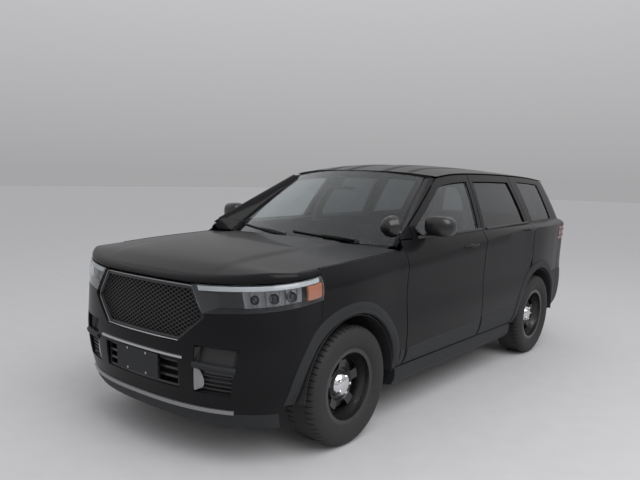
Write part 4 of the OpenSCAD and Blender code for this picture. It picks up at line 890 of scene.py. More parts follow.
def lamp_point(f, g, d):
    """Point of the left headlamp: f from its outer end to the grille, g from its lower edge up, d inside."""
    low = mix(BUMPER_TOP[1], BUMPER_TOP[0], f) + 2 * SEAT_GAP
    z = mix(low, mix(*LAMP_TOP, f ** LAMP_POW), g)
    first = nose_place(FENDER_Y - SEAT_GAP, z)
    return wall(mix(first, CAP_F - CAP_DEG * (grille_turn(z) - 0.2), f), z, d)


def lens_point(i, j, inner):
    return lamp_point(at(BUMPER_SHARES, j), at(LAMP_ROWS, i), GLASS_T if inner else 0)


def bowl_point(i, j, inner):
    edge = min(clamp(i), clamp(3 - i), clamp(j), clamp(6 - j))
    d = mix(GLASS_T + SEAT_GAP, BOWL_DEEP, edge)
    return lamp_point(at(BUMPER_SHARES, j), at(LAMP_ROWS, i), d + (BOWL_T if inner else 0))


GRILLE_HEAD = [wall(CAP_F - CAP_DEG * mix(90, grille_turn(GRILLE_TOP), f), GRILLE_TOP)
               for f in np.linspace(0, 1, 12)]
NOSE_LINE = GRILLE_HEAD + [lamp_point(f, 1, 0) for f in np.linspace(0.98, 0, 36)]
make("hood_nose", both(panel(hood_nose_point, 7, len(NOSE_LINE), (1, 1))), PAINT, "hood", bevel=1.5)
make("headlamp_covers", both(panel(lens_point, 4, 7, (4, 4))), LENS,
     replaces=["headlamp_lenses"])
make("headlamp_bowls", both(panel(bowl_point, 4, 7, (4, 4))), GRILLE, replaces=["headlamps"])

# Rear bumper and tail lamps
REAR_ROWS = (330, AXLE_Z, 430, 560, 690, BUMPER_R_TOP)
REAR_T, TAIL_LAMP_T, TAIL_CROWN = 16, 30, 3


def rear_end(z):
    return tail_place(AXLE_R + math.sqrt(max(0, ARCH_OUT_R ** 2 - (z - AXLE_Z) ** 2)) + SEAT_GAP, z)


def rear_point(i, j, inner):
    z = at(REAR_ROWS, i)
    f = min(j, 10 - j) / 5
    p = wall(mix(rear_end(z), CAP_R + 90 * CAP_DEG, f), z, REAR_T if inner else 0)
    return p if j <= 5 else p * FLIP


def tail_lamp_point(i, j, inner):
    z = mix(LAMP_R[1] + SEAT_GAP, LAMP_R[2] - SEAT_GAP, i / 2)
    depth = TAIL_LAMP_T if inner else -1 - TAIL_CROWN * sind(90 * i)
    return wall(mix(LAMP_R[0] + SEAT_GAP, QUARTER_END, j / 5), z, depth)


def tail_bar(share):
    """Dark bar across the tail lamp at a share of its height."""
    z = mix(*LAMP_R[1:], share)
    path = [wall(mix(LAMP_R[0] + 16, QUARTER_END - 14, f), z, -3) for f in np.linspace(0, 1, 24)]
    return tube(path, [2, *[5] * 22, 2], 10, 1.3)


make("rear_bumper_skin", panel(rear_point, len(REAR_ROWS), 11, (4, 4)), TRIM,
     replaces=["rear_bumper"], bevel=3)
make("tail_lamp_lenses", both(panel(tail_lamp_point, 3, 6, (4, 5))), RED,
     replaces=["tail_lamps"], bevel=3)
make("tail_lamp_bars", both(joined(tail_bar(0.28), tail_bar(0.72))), GRILLE)

# Liftgate and its window: rows of heights and columns of degrees round the tail
GATE_ROWS = (BUMPER_R_TOP + SHUT_GAP + 6, 900, 1010, LAMP_R[1] + 25, LAMP_R[2], LAMP_R[2] + 72, HEIGHT - 207)
GATE_TURNS = (GATE_TURN, 50, 58, 67, 78, 90)
GATE_T, GATE_UPPER_T, GATE_PANE_SET = 60, 40, 12
SPOILER_Z, SPOILER_SHARE, SPOILER_BOW, SPOILER_HALF = HEIGHT - 132, 0.985, 40, 520


def gate_place(turn):
    return CAP_R + turn * CAP_DEG


def gate_upper(turn, inner):
    """Points of the spoiler in one column: under its tip, at its tip and at the roof."""
    p = wall(gate_place(turn), SPOILER_Z)
    x = p[0] * SPOILER_SHARE
    bow = SPOILER_BOW * (x / SPOILER_HALF) ** 2
    tip, front = roof_z(x, GATE_TIP), roof_z(x, GATE_FRONT)
    if inner:
        return (vec(x, p[1] - 40, tip - 30), vec(x, GATE_TIP - bow - 12, tip - 17),
                vec(x, GATE_FRONT - bow * 0.5 + 3, front - 3))
    return (vec(x, p[1], tip - 40), vec(x, GATE_TIP - bow, tip - 14), vec(x, GATE_FRONT - bow * 0.5, front))


def gate_point(i, j, inner):
    turn = at(GATE_TURNS, min(j, 10 - j))
    depth = mix(GATE_T, GATE_UPPER_T, clamp(i - 4)) if inner else 0
    p = wall(gate_place(turn), at(GATE_ROWS, min(i, 6)), depth)
    if i > 6:
        p = at((p, *gate_upper(turn, inner)), i - 6)
    return p if j <= 5 else p * FLIP


def gate_knuckle():
    a = vec(GATE_KNUCKLE_W / 2, 0, 0)
    arm = block(GATE_HINGE + vec(0, 6, -7) - a, GATE_HINGE + vec(0, 36, 6) + a)
    return joined(tube([GATE_HINGE - a, GATE_HINGE + a], 7), arm)


def gate_glass_point(i, j, inner):
    turns = (GATE_TURNS[1] + 0.1, *GATE_TURNS[2:])
    z = mix(GATE_ROWS[5] + SEAT_GAP, GATE_ROWS[6] - SEAT_GAP, i / 2)
    p = wall(gate_place(at(turns, min(j, 8 - j))), z, GATE_PANE_SET + (GLASS_T if inner else 0))
    return p if j <= 4 else p * FLIP


# Seal behind the liftgate's side gaps: columns of (degrees round the tail, depth below the skin)
SEAL_COLUMNS = (vec(40.9, 12), vec(41.2, 66), vec(44, 66), vec(48, 66))
SEAL_T, SEAL_Z = 4, (BUMPER_R_TOP + 20, HEIGHT - 140)


def seal_point(i, j, inner):
    turn, depth = at(SEAL_COLUMNS, j)
    return wall(gate_place(turn), mix(*SEAL_Z, i / 12), depth + (SEAL_T if inner else 0))


gate_skin = panel(gate_point, 10, 11, (4, 4), lambda i, j: not (i == 5 and 0 < j < 9))
make("liftgate_skin", joined(gate_skin, both(gate_knuckle())), PAINT, "liftgate", ["liftgate"],
     bevel=2.5)
make("liftgate_seals", both(panel(seal_point, 13, len(SEAL_COLUMNS), (2, 2))), RUBBER)
make("liftgate_window", panel(gate_glass_point, 3, 9, (4, 4)), PRIVACY, "liftgate",
     ["liftgate_glass"])

# Arch mouldings: rows of (radius from the opening's edge, depth below the skin)
MOULDING_PROFILE = ((MOULDING_W - SEAT_GAP, 0), (MOULDING_W - 3, -5), (MOULDING_W - 9, -7), (30, -7.4),
                    (27, -5.4), (24, -5.4), (21, -7.4), (9, -7), (4, -4), (0.8, 2), (0, 8))
MOULDING_IN = 22
FRONT_ARCH = [arch_deg(AXLE_Z + 1), *[arch_deg(z) for z in BUMPER_ROWS if AXLE_Z < z <= 712],
              *FENDER_ARCH, 180]
REAR_ARCH = [0, 16, 32, 48, *QUARTER_ARCH, *[180 - arch_deg(z) for z in reversed(REAR_ROWS[1:5])]]


def moulding(axle, angles):
    def point(i, j, inner):
        w, d = MOULDING_PROFILE[int(i)]
        a = at(angles, j)
        y, z = axle - (ARCH_R + w) * cosd(a), AXLE_Z + (ARCH_R + w) * sind(a)
        return wall(nose_place(y, z), z, MOULDING_IN if inner else d)

    return panel(point, len(MOULDING_PROFILE), len(angles), (1, 5))


make("arch_moulding_skins", both(joined(moulding(AXLE_F, FRONT_ARCH), moulding(AXLE_R, REAR_ARCH))), TRIM,
     replaces=["arch_mouldings"])

# Tyres with tread blocks: rows of (radius, distance from the middle plane)
SIDE = TYRE_W / 2
TYRE_HALF = ((RIM_R + SEAT_GAP, RIM_W / 2), (RIM_R + 12, RIM_W / 2 + 9), (RIM_R + 40, SIDE - 4),
             (RIM_R + 70, SIDE - 0.5), (RIM_R + 90, SIDE - 1), (TYRE_R - 26, SIDE - 10),
             (TYRE_R - 12, SIDE - 20), (TYRE_R - 4, SIDE - 34), (TYRE_R - 1, SIDE - 50),
             (TYRE_R, SIDE - 62), (TYRE_R, 40), (TYRE_R, 36), (TYRE_R, 8), (TYRE_R, 4))
TYRE_INNER = ((TYRE_R - 30, SIDE - 40), (RIM_R + 20, RIM_W / 2 - 22), (RIM_R + SEAT_GAP, RIM_W / 2 - 8))
TREAD_BLOCKS, BLOCK_STEPS, TREAD_DEEP = 60, 6, 8
TREAD_GROOVES, TREAD_LOW, CROWN_LOW = (6, 38), TYRE_R - 13, TYRE_R - 8


def tyre_shape():
    outer = [*TYRE_HALF, *[(r, -x) for r, x in reversed(TYRE_HALF)]]
    ring = outer + [(r, -x) for r, x in reversed(TYRE_INNER)] + list(TYRE_INNER)
    sides = TREAD_BLOCKS * BLOCK_STEPS
    points, faces = revolve(ring, sides)
    n = len(ring)
    for m in range(sides):
        for k, (r, x) in enumerate(outer):
            ribs = min(abs(abs(x) - g) for g in TREAD_GROOVES) <= 2.1
            cut = (m + (2 if x < 0 else 0)) % BLOCK_STEPS == 0 and abs(x) > 10
            if r >= TREAD_LOW and (ribs or cut):
                a = 360 * m / sides
                low = r - TREAD_DEEP * (1 if r > CROWN_LOW else 0.6)
                points[m * n + k] = vec(x, low * cosd(a), low * sind(a))
    return points, faces


# Hub caps with their ring of lug bumps: rows of (radius, distance out)
CAP_PROFILE = ((0.5, 73), (20, 72.6), (34, 70.8), (50, 66.5), (62, 60.8), (72, 49), (80.6, 36.5), (86.6, 13),
               (86.9, 12.4), (84, 12.4), (79, 34), (60, 57), (34, 67), (0.5, 70))
CAP_OUTSIDE = 8
LUGS, LUG_R, LUG_RING, LUG_HIGH, LUG_EDGE = 5, 13, 57, 9, 7


def lug_lift(r, a):
    step = 360 / LUGS
    off = (a + step / 2) % step - step / 2
    dist = math.hypot(r * cosd(off) - LUG_RING, r * sind(off))
    return LUG_HIGH * smooth((LUG_R - dist) / LUG_EDGE) if 30 < r < 75 else 0


def hub_cap_shape():
    outside = CAP_PROFILE[:CAP_OUTSIDE]
    rings = [(mix(a[0], b[0], f), mix(a[1], b[1], f)) for a, b in zip(outside, outside[1:])
             for f in (0, 0.25, 0.5, 0.75)]
    return revolve([*rings, *CAP_PROFILE[CAP_OUTSIDE - 1:]], 120, lug_lift)


tyre, hub_cap = tyre_shape(), hub_cap_shape()
for place, is_front in FRONT_REAR:
    for side, sign in LEFT_RIGHT:
        body = f"wheel_{place}_{side}"
        centre = vec(sign * TRACK / 2, AXLE_F if is_front else AXLE_R, AXLE_Z)
        make(f"tyre_rubber_{place}_{side}", moved(on_side(tyre, sign), centre), RUBBER, body,
             [f"tyre_{place}_{side}"], sharp=30)
        make(f"hub_cap_{place}_{side}", moved(on_side(hub_cap, sign), centre), CHROME, body, sharp=60)


# Grille: bowed diamond mesh behind a hexagon frame
GRILLE_TILT, BOW_R, GRILLE_BACK = 7, 2500, 14
GRILLE_FRAME, FRAME_EDGE = 26, 3
MESH_PITCH, MESH_BAR, MESH_DEEP, MESH_INSET = (43, 25), 5, 24, 14
(FOOT_HALF, FOOT_Z), (WAIST_HALF, WAIST_Z), (HEAD_HALF, HEAD_Z) = GRILLE_CORNERS


def grille_place(x, z, depth):
    """Point of the bowed, tilted grille, depth behind its face."""
    y = BOW_R - math.sqrt((BOW_R - depth) ** 2 - x * x)
    a = -GRILLE_TILT
    dz = z - FOOT_Z
    return vec(x, NOSE_Y + GRILLE_BACK + y * cosd(a) - dz * sind(a), FOOT_Z + y * sind(a) + dz * cosd(a))


def grille_half(z, inset):
    """Half width of the hexagon at a height, inset from its edge."""
    if not FOOT_Z + inset <= z <= HEAD_Z - inset:
        return 0.0
    wide = 2 * WAIST_HALF
    slant_low = inset * math.hypot(WAIST_HALF - FOOT_HALF, WAIST_Z - FOOT_Z) / (WAIST_Z - FOOT_Z)
    slant_high = inset * math.hypot(WAIST_HALF - HEAD_HALF, HEAD_Z - WAIST_Z) / (HEAD_Z - WAIST_Z)
    return min(lookup(((FOOT_Z, FOOT_HALF), (WAIST_Z, WAIST_HALF), (HEAD_Z, wide)), z) - slant_low,
               lookup(((FOOT_Z, wide), (WAIST_Z, WAIST_HALF), (HEAD_Z, HEAD_HALF)), z) - slant_high)


def grille_bar(a, b):
    """Bar of the mesh between two points of the front view."""
    steps = max(2, int(abs(b[0] - a[0]) / 45) + 1)
    shares = [k / steps for k in range(steps + 1)]
    path = [grille_place(mix(a[0], b[0], f), mix(a[1], b[1], f), MESH_DEEP) for f in shares]
    return tube(path, MESH_BAR / 2, 6)


def grille_mesh():
    """Both families of slanted bars, cut at the hexagon."""
    low, high = FOOT_Z + MESH_INSET, HEAD_Z - MESH_INSET
    slope = MESH_PITCH[0] / MESH_PITCH[1]
    heights = [mix(low, high, m / 160) for m in range(161)]
    count = int((2 * WAIST_HALF + slope * (high - low)) / MESH_PITCH[0]) + 2
    bars = []
    for lean in (-1, 1):
        for k in range(-count, count + 1):
            line = [(k * MESH_PITCH[0] + lean * slope * (z - low), z) for z in heights]
            inside = [(x, z) for x, z in line if abs(x) <= grille_half(z, MESH_INSET)]
            if len(inside) > 4:
                bars.append(grille_bar(inside[0], inside[-1]))
    return joined(*bars)


def grille_outline(inset):
    """Points round the hexagon, inset from its edge."""
    heights = [FOOT_Z + inset, *np.linspace(FOOT_Z + inset + 6, HEAD_Z - inset - 6, 30), HEAD_Z - inset]
    right = [(grille_half(z, inset), z) for z in heights]
    foot = [(x, heights[0]) for x in np.linspace(-right[0][0], right[0][0], 24)[1:-1]]
    head = [(x, heights[-1]) for x in np.linspace(right[-1][0], -right[-1][0], 24)[1:-1]]
    return foot + right + head + [(-x, z) for x, z in reversed(right)]


def grille_ring(inset_out, inset_in, front, back):
    """Hexagon frame between two insets and two depths, with bevelled edges."""
    profile = ((inset_out, back), (inset_out, front + FRAME_EDGE), (inset_out + FRAME_EDGE, front),
               (inset_in - FRAME_EDGE, front), (inset_in, front + FRAME_EDGE), (inset_in, back))
    rings = [[grille_place(x, z, depth) for x, z in grille_outline(inset)] for inset, depth in profile]
    return [p for ring in rings for p in ring], hoops(len(rings), len(rings[0]), wrap=True)


make("grille_mesh", joined(grille_mesh(), grille_ring(3.2, GRILLE_FRAME, 12, 32)), GRILLE,
     replaces=["grille"])

# Trim that follows the body wall
CLADDING_TOP, CLADDING_RISE, CLADDING_OUT, CLADDING_IN = 545, 0.03, -5, 3
# Door handles: middles as (station, height), half length of the grip, and half sizes of the recess
HANDLES = {"front": (-160, 1158), "rear": (985, 1231)}
HANDLE_GRIP, HANDLE_R, HANDLE_OUT = 105, 14, 26
RECESS_HALF = (62, 19)


def wall_strip(stations, rows, d_out, d_in):
    """Sheet on the wall: stations along it, rows(y) heights, with its edges sunk."""
    def point(i, j, inner):
        heights = rows(stations[j])
        edge = i in (0, len(heights) - 1) or j in (0, len(stations) - 1)
        return wall(stations[j], heights[i], d_in if inner or edge else d_out)

    count = len(rows(stations[0]))
    return sheet(*[[[point(i, j, inner) for j in range(len(stations))] for i in range(count)]
                   for inner in (False, True)])


def cladding_rows(y):
    low, top = DOOR_LOW_Z, CLADDING_TOP + CLADDING_RISE * y
    return (low + 6, low + 9, low + 50, mix(low, top, 0.5), top - 22, top - 5, top)


def spread(a, b, n):
    """Stations from a to b with a close pair at each end."""
    return [a, a + 3, *np.linspace(a + 20, b - 20, n), b - 3, b]


def handle_shape(y0, z0):
    shares = np.linspace(-1, 1, 17)
    path = [wall(y0 + HANDLE_GRIP * f, z0 + 6 * f, -HANDLE_OUT + 30 * abs(f) ** 5) for f in shares]
    return tube(path, [HANDLE_R - 5 * abs(f) ** 3 for f in shares], 12, 0.8)


def recess_shape(y0, z0):
    half_y, half_z = RECESS_HALF
    rings = [[wall(y0 + 15 + r * half_y * cosd(a), z0 + 3 + r * half_z * sind(a), -0.8 + 1.2 * r)
              for a in range(0, 360, 15)] for r in (0.05, 0.5, 0.9, 1.0)]
    n = len(rings[0])
    return [p for ring in rings for p in ring], hoops(len(rings), n) + [tuple(range(n))]


for place, is_front in FRONT_REAR:
    lead = max(lead_of(is_front, DOOR_LOW_Z), lead_of(is_front, CLADDING_TOP))
    trail = min(trail_of(is_front, DOOR_LOW_Z + 20), trail_of(is_front, CLADDING_TOP))
    cladding = wall_strip(spread(lead + 7, trail - 7, 14), cladding_rows, CLADDING_OUT, CLADDING_IN)
    sill = [door_point(is_front, BELT_ROW + 0.6, j, False) + vec(3, 0, 2)
            for j in np.linspace(3 if is_front else 1, DOOR_LAST - 0.1, 24)]
    handle, recess = handle_shape(*HANDLES[place]), recess_shape(*HANDLES[place])
    for side, sign in LEFT_RIGHT:
        body = f"door_{place}_{side}"
        make(f"{body}_cladding", on_side(cladding, sign), TRIM, body, bevel=1.5)
        make(f"{body}_sill_strip", on_side(tube(sill, 7, 8, 1.4), sign), GRILLE, body)
        make(f"{body}_handle", on_side(handle, sign), PAINT, body)
        make(f"{body}_handle_recess", on_side(recess, sign), TANK, body)

make("fender_cladding", both(wall_strip(spread(AXLE_F + ARCH_OUT_R + 3, DOOR_A - 14, 3), cladding_rows,
                                        CLADDING_OUT, CLADDING_IN)), TRIM, bevel=1)


# Bumper trim: valance, lip, bright strip, vents, and a painted-shade sheet behind them; columns count as in
# bumper_at
VENT_COLS, VENT_END = (2.9, 5.05), 4.98
SLAT_HEIGHTS, DEFLECTOR_Z = (462, 488, 514, 540), (446, 590)
# Depth behind the skin, thickness and rows of the near-black sheet that paints the shade behind the openings
SHADE_SHEET_DEEP, SHADE_SHEET_T, SHADE_SHEET_ROWS = 78, 5, (250, 420, 640, 860, 1030)


def bumper_strip(k0, low, high, d_out, d_in, count):
    """Strip across the bumper from column k0 to the same column of the other side."""
    heights = (low, low + 4, mix(low, high, 0.5), high - 4, high)
    columns = np.linspace(k0, CENTRE, count)
    return sheet(*[[across([bumper_at(k, z, d_in if inner or i in (0, 4) else d_out) for k in columns])
                    for i, z in enumerate(heights)] for inner in (False, True)])


def vent_line(z0, z1, depth, radius, flat):
    columns = np.linspace(*VENT_COLS, 16)
    path = [bumper_at(k, mix(z0, z1, m / 15), depth) for m, k in enumerate(columns)]
    return tube(path, radius, 12, flat)


def deflector_point(i, j, inner):
    """Point of the bright drop at the inner end of a corner vent."""
    f, g = i / 8, j / 10
    k = VENT_END - 0.5 * sind(20 + 159 * g ** 0.8) ** 0.7 * f
    return bumper_at(k, mix(*DEFLECTOR_Z, g ** 1.2) + 8 * f, 2 + 14 * f * f + (4 if inner else 0))


make("front_valance", bumper_strip(0.02, 236, 332, -3, 4, 60), TRIM, bevel=2)
make("front_lip", bumper_strip(2.6, 322, 354, -11, 2, 50), SATIN, bevel=2)
make("bumper_bright_strip", bumper_strip(GRILLE_COL - 0.35, 620, 640, -9, 1, 30), BRIGHT,
     bevel=1)
# Near-black sheet behind the vents and grille: painted shade where the openings show only shade
shade_sheet = [across([bumper_at(k, z, SHADE_SHEET_DEEP) for k in np.linspace(VENT_COLS[0], CENTRE, 30)])
           for z in SHADE_SHEET_ROWS]
make("bumper_painted_shade_sheet", sheet(shade_sheet, [[p + vec(0, SHADE_SHEET_T, 0) for p in row] for row in shade_sheet]), SHADE)
make("vent_bars", both(vent_line(590, 600, 10, 22, 0.9)), TRIM)
slats = [vent_line(z, z + 4, 26, 5, 1) for z in SLAT_HEIGHTS]
make("vent_slats", both(joined(*slats)), GRILLE)
make("vent_deflectors", both(panel(deflector_point, 9, 11, (1, 1))), SATIN, bevel=1)

# Grille trim: bright foot and a thin satin rim
foot_line = [grille_place(x, FOOT_Z + 10, 6) for x in np.linspace(-352, 352, 33)]
make("grille_bright_foot", tube(foot_line, [4, *[9] * 31, 4], 10, 0.7), BRIGHT)
RIM_INSET, RIM_DEEP = 6, 10


def rim_line(sign):
    top = HEAD_Z - RIM_INSET
    side = [grille_place(sign * (grille_half(z, RIM_INSET) + 1), z, RIM_DEEP)
            for z in np.linspace(FOOT_Z + 8, top, 30)]
    head = [grille_place(sign * mix(grille_half(top, RIM_INSET), 0, f), top + 1, RIM_DEEP)
            for f in np.linspace(0.05, 1, 14)]
    return tube(side + head, 4, 8)


make("grille_rim", joined(rim_line(1), rim_line(-1)), SATIN)

# Headlamp insides: light guide, reflector, three round units and the side marker
UNITS = ((0.31, 0.42, 30), (0.46, 0.43, 30), (0.61, 0.44, 27))
UNIT_DEEP, UNIT_AIM = 44, Vector((0, -0.9, 0))


def lamp_strip(f0, f1, g0, g1, d0, d1, ripple=0.0):
    """Strip inside the lamp between two places along it, two up it and two depths."""
    def point(i, j, inner):
        f, g = mix(f0, f1, j / 24), mix(g0, g1, i / 4)
        return lamp_point(f, g, d1 if inner else d0 + ripple * abs(sind(j * 67)))

    return panel(point, 5, 25, (1, 2))


def lamp_unit(f, g, r):
    """Rim and ball of a round unit of radius r that faces out of the bowl."""
    middle, front = lamp_point(f, g, UNIT_DEEP), lamp_point(f, g, 0)
    aim = Vector(front - middle).normalized() + UNIT_AIM
    turn = Vector((1, 0, 0)).rotation_difference(aim).to_matrix()
    rim = ((r * 0.7, -4), (r, 14), (r * 0.94, 18), (r * 0.84, 13), (r * 0.55, -2))
    ball = ((0.5, r * 0.62), *[(r * 0.66 * sind(a), r * 0.62 * cosd(a)) for a in range(15, 100, 12)],
            (r * 0.5, -6), (0.5, -6))
    return [moved(turned(revolve(profile, 40), turn), middle) for profile in (rim, ball)]


rims, balls = zip(*[lamp_unit(*unit) for unit in UNITS])
make("lamp_guides", both(lamp_strip(0.05, 0.97, 0.78, 0.95, 9, 22)), LIGHT)
make("lamp_reflectors", both(lamp_strip(0.22, 0.7, 0.12, 0.74, 38, 58, 12)), SATIN)
make("lamp_unit_rims", both(joined(*rims)), CHROME)
make("lamp_unit_eyes", both(joined(*balls)), SPOT)
make("lamp_markers", both(lamp_strip(0.02, 0.19, 0.16, 0.74, 9, 24)), AMBER)


# Windshield pillars: smooth covers over the folded sheets, their feet, and the wipers
PILLAR_GAP, PILLAR_UP = 1.3 * SHUT_GAP, 30
COVER_SPAN, COVER_TOP = (0.13, 0.95), HEIGHT - 117
COVER_CREST, COVER_OUT, COVER_IN = vec(6, -16, 10), vec(1.0, -1.4, 1.6), vec(-1.5, 2, -2.4)
# Corner between the hood, the fender and the pillar, clear of the hood's and the door's swing
CORNER_FOOT = (shield(1, 0) + vec(2, 0, 2), vec(HALF_W - 122, AXLE_F + 585, 1194),
               vec(HALF_W - 99, AXLE_F + 579, 1232))
FOOT_CROWN = 26 * vec(0.3, -0.6, 0.74)


def pillar_cover(i, j, inner):
    """Point of the left cover, which arches from the windshield's edge to the door frame."""
    e = shield(1, mix(*COVER_SPAN, i / 24)) + vec(3 * SEAT_GAP, 0, 0)
    z = min(max(e[2] + PILLAR_UP, belt(PILLAR_Y) + SHUT_GAP + 2), COVER_TOP)
    y = PILLAR_Y + (z - PILLAR_GAP - belt(PILLAR_Y) - PILLAR_RISE) / PILLAR_SLOPE
    d = vec(side_x(y, z), y, z)
    crest = mix(e, d, 0.55) + COVER_CREST
    f = j / 10
    p = (1 - f) ** 2 * e + 2 * f * (1 - f) * (2 * crest - 0.5 * (e + d)) + f * f * d
    return p + (COVER_IN if inner else COVER_OUT)


def pillar_foot(i, j, inner):
    low = at(CORNER_FOOT, j / 5) + (COVER_IN if inner else vec(0, 0, 0))
    f = i / 8
    return mix(low, pillar_cover(0, j, inner), f) + sind(180 * f) * sind(18 * j) * FOOT_CROWN


def wiper(s0, s1, t0, t1, root):
    """Blade between two places on the windshield, and its arm from the foot at root."""
    blade = [shield(mix(s0, s1, f), mix(t0, t1, f), -7) for f in np.linspace(0, 1, 14)]
    arm = [shield(root, 0.0, -4), shield(root, 0.015, -20),
           shield(mix(root, s1, 0.25), mix(0.02, t1, 0.3), -20), mix(blade[6], blade[7], 0.5) + vec(0, -6, 8)]
    return joined(tube(blade, 6, 8, 1.3), tube(arm, [12, 10, 7, 5], 8))


make("pillar_covers", both(panel(pillar_cover, 25, 11, (1, 1))), PAINT, bevel=0.8)
make("pillar_feet", both(panel(pillar_foot, 9, 11, (1, 1))), PAINT, bevel=0.8)
make("wipers", joined(wiper(0.72, 0.02, 0.02, 0.075, 0.7), wiper(-0.05, -0.78, 0.02, 0.10, -0.02)), GRILLE)

# Door mirrors
MIRROR_AT = vec(HALF_W + 48, AXLE_F + 900, BELT_Z + 62)
MIRROR_HALF, MIRROR_MIDDLE = vec(101, 78, 74), MIRROR_AT + vec(-30, 12, 9)
MIRROR_BACK, MIRROR_LOW_SHARE = 52, 0.86
MIRROR_POWERS = (0.55, 0.65, 0.75, 0.7)
MIRROR_LEAN = vec(0, 16, -6) / MIRROR_HALF[0]
PANE_HALF, PANE_POW = (82, 54), 0.7


def mirror_point(p, _angle):
    """Point of the housing, flatter below, swept back and down outwards, and cut off at its back."""
    p = p * MIRROR_HALF
    p = p * vec(1, 1, MIRROR_LOW_SHARE if p[2] < 0 else 1) + p[0] * MIRROR_LEAN
    p[1] = min(p[1], MIRROR_BACK)
    return MIRROR_MIDDLE + p


def mirror_foot():
    x0 = side_x(MIRROR_AT[1], BELT_Z) + 3
    path = [vec(x0, MIRROR_AT[1] + 14, BELT_Z + 14), vec(x0 + 22, MIRROR_AT[1] + 16, BELT_Z + 16),
            MIRROR_AT + vec(-56, 22, -48), MIRROR_AT + vec(-40, 24, -36)]
    return tube(path, [44, 36, 26, 24], 20, 0.34)


def mirror_glass():
    face = MIRROR_MIDDLE + vec(0, MIRROR_BACK, 2)
    half_x, half_z = PANE_HALF
    outline = [(half_x * signed_power(cosd(a), PANE_POW), half_z * signed_power(sind(a), PANE_POW) - 3)
               for a in range(0, 360, 9)]
    rings = [[face + vec(r * x, off, r * z) for x, z in outline]
             for r, off in ((0.04, 2), (0.98, 2), (1.0, 0.4))]
    n = len(outline)
    return [p for ring in rings for p in ring], hoops(len(rings), n) + [tuple(range(n))]


mirror = joined(rounded(25, 48, 89.5, MIRROR_POWERS, mirror_point), mirror_foot())
for side, sign in LEFT_RIGHT:
    body = f"door_front_{side}"
    make(f"mirror_housing_{side}", on_side(mirror, sign), SPOT, body, [f"mirror_{side}"])
    make(f"mirror_glass_{side}", on_side(mirror_glass(), sign), CHROME, body)

# Spotlight stem
SPOT_AT, SPOT_FOOT = vec(HALF_W - 142, AXLE_F + 526, 1335), vec(HALF_W - 130, AXLE_F + 623, 1286)
stem_line = [mix(SPOT_AT, SPOT_FOOT, f) for f in (0.3, 0.6, 0.85, 0.99)]
make("spotlight_stem", tube(stem_line, [9.6, 9.6, 10.5, 12], 20), BRIGHT)


# Seats: crowned cushions with sewn channels
DASH_Y = AXLE_F + ARCH_R + 24 + SEAT_GAP
FRONT_SEAT, BENCH = vec(390, DASH_Y + 800, 400), vec(0, AXLE_R - 700, 400.3)
BENCH_W = 2 * (TRACK / 2 - TYRE_W / 2 - 30 - 40 - 32.5)
SEAM_W, SEAM_DEEP, PINCH, NO_SEAM = 0.06, 7, 0.02, (2.0,)
HEADREST_HALF, POST_SET, POST_R = vec(118, 80, 44), 50, 6


def cushion(half, exponent=0.42, channels=NO_SEAM):
    """Rounded pad about its middle, crowned on its +z face, with sewn channels along y."""
    def place(p, angle):
        seam = max(smooth(1 - abs(abs(p[0]) - c) / SEAM_W) for c in channels)
        pinch = 1 - PINCH * math.cos(3 * math.radians(angle))
        q = p * half * vec(pinch, pinch, 1)
        q[2] -= SEAM_DEEP * seam * max(0.0, p[2])
        return q

    return rounded(33, 64, 89, (exponent, exponent, exponent, exponent * 1.2), place)


def lean_back(shape, lean, foot):
    """Stands a pad that lies on its back upright, its face forward, leaning from its foot."""
    stand = Matrix.Rotation(math.radians(90 - lean), 3, "X")
    return moved(turned(shape, stand), foot)


def seat_shapes(place, w, depth, back_h, back_z, lean, channels, heads):
    """Base, back, headrests and their posts; heads are the headrests' places across the seat."""
    base = moved(cushion(vec(w / 2 - 4, depth / 2 - 4, 70), channels=channels),
                 place + vec(0, depth / 2 - 6, 76))
    foot = place + vec(0, depth + 58, back_z)
    along = vec(0, sind(lean), cosd(lean))
    back = lean_back(cushion(vec(w / 2 - 22, back_h / 2 - 6, 52), channels=channels), lean,
                     foot + along * (back_h / 2))
    rests = [lean_back(cushion(HEADREST_HALF, 0.5), lean * 0.6,
                       foot + along * (back_h + 108) + vec(x, -14, 0)) for x in heads]
    low, high = foot + along * (back_h - 30), foot + along * (back_h + 70)
    posts = [tube([low + vec(x + o, -6, 0), high + vec(x + o, -10, 0)], POST_R)
             for x in heads for o in (-POST_SET, POST_SET)]
    return base, back, rests, joined(*posts)


def make_pad(name, shape, node):
    pad = make(name, shape, SEAT, replaces=[node], sharp=80)


base, back, rests, posts = seat_shapes(FRONT_SEAT, 520, 500, 620, 40, 20, (0.45,), (0,))
for side, sign in LEFT_RIGHT:
    for name, shape in (("front_cushion", base), ("front_back", back), ("front_headrest", rests[0])):
        make_pad(f"{name}_{side}", on_side(shape, sign), "front_seats")
make("front_headrest_posts", both(posts), PIPE)
make("front_seat_frames", both(block(FRONT_SEAT + vec(-180, 40, -145), FRONT_SEAT + vec(180, 440, 4))), TANK,
     bevel=8)
base, back, rests, posts = seat_shapes(BENCH, BENCH_W, 480, 560, 108, 22, (0.33,), (-360, 360))
for name, shape in (("bench_cushion", base), ("bench_back", back), ("bench_headrest_a", rests[0]),
                    ("bench_headrest_b", rests[1])):
    make_pad(name, shape, "rear_bench")
make("bench_headrest_posts", posts, PIPE)

# Cabin mirror, plate screws and tail details
CABIN_MIRROR_AT, CABIN_MIRROR_HALF = shield(0, 0.8, 46), vec(120, 34, 12)
PLATE_HOLES = [(x, z) for x in (-89, 89) for z in (480.5, 601.5)]
SCREW_R, SCREW_HALF = 8, 3


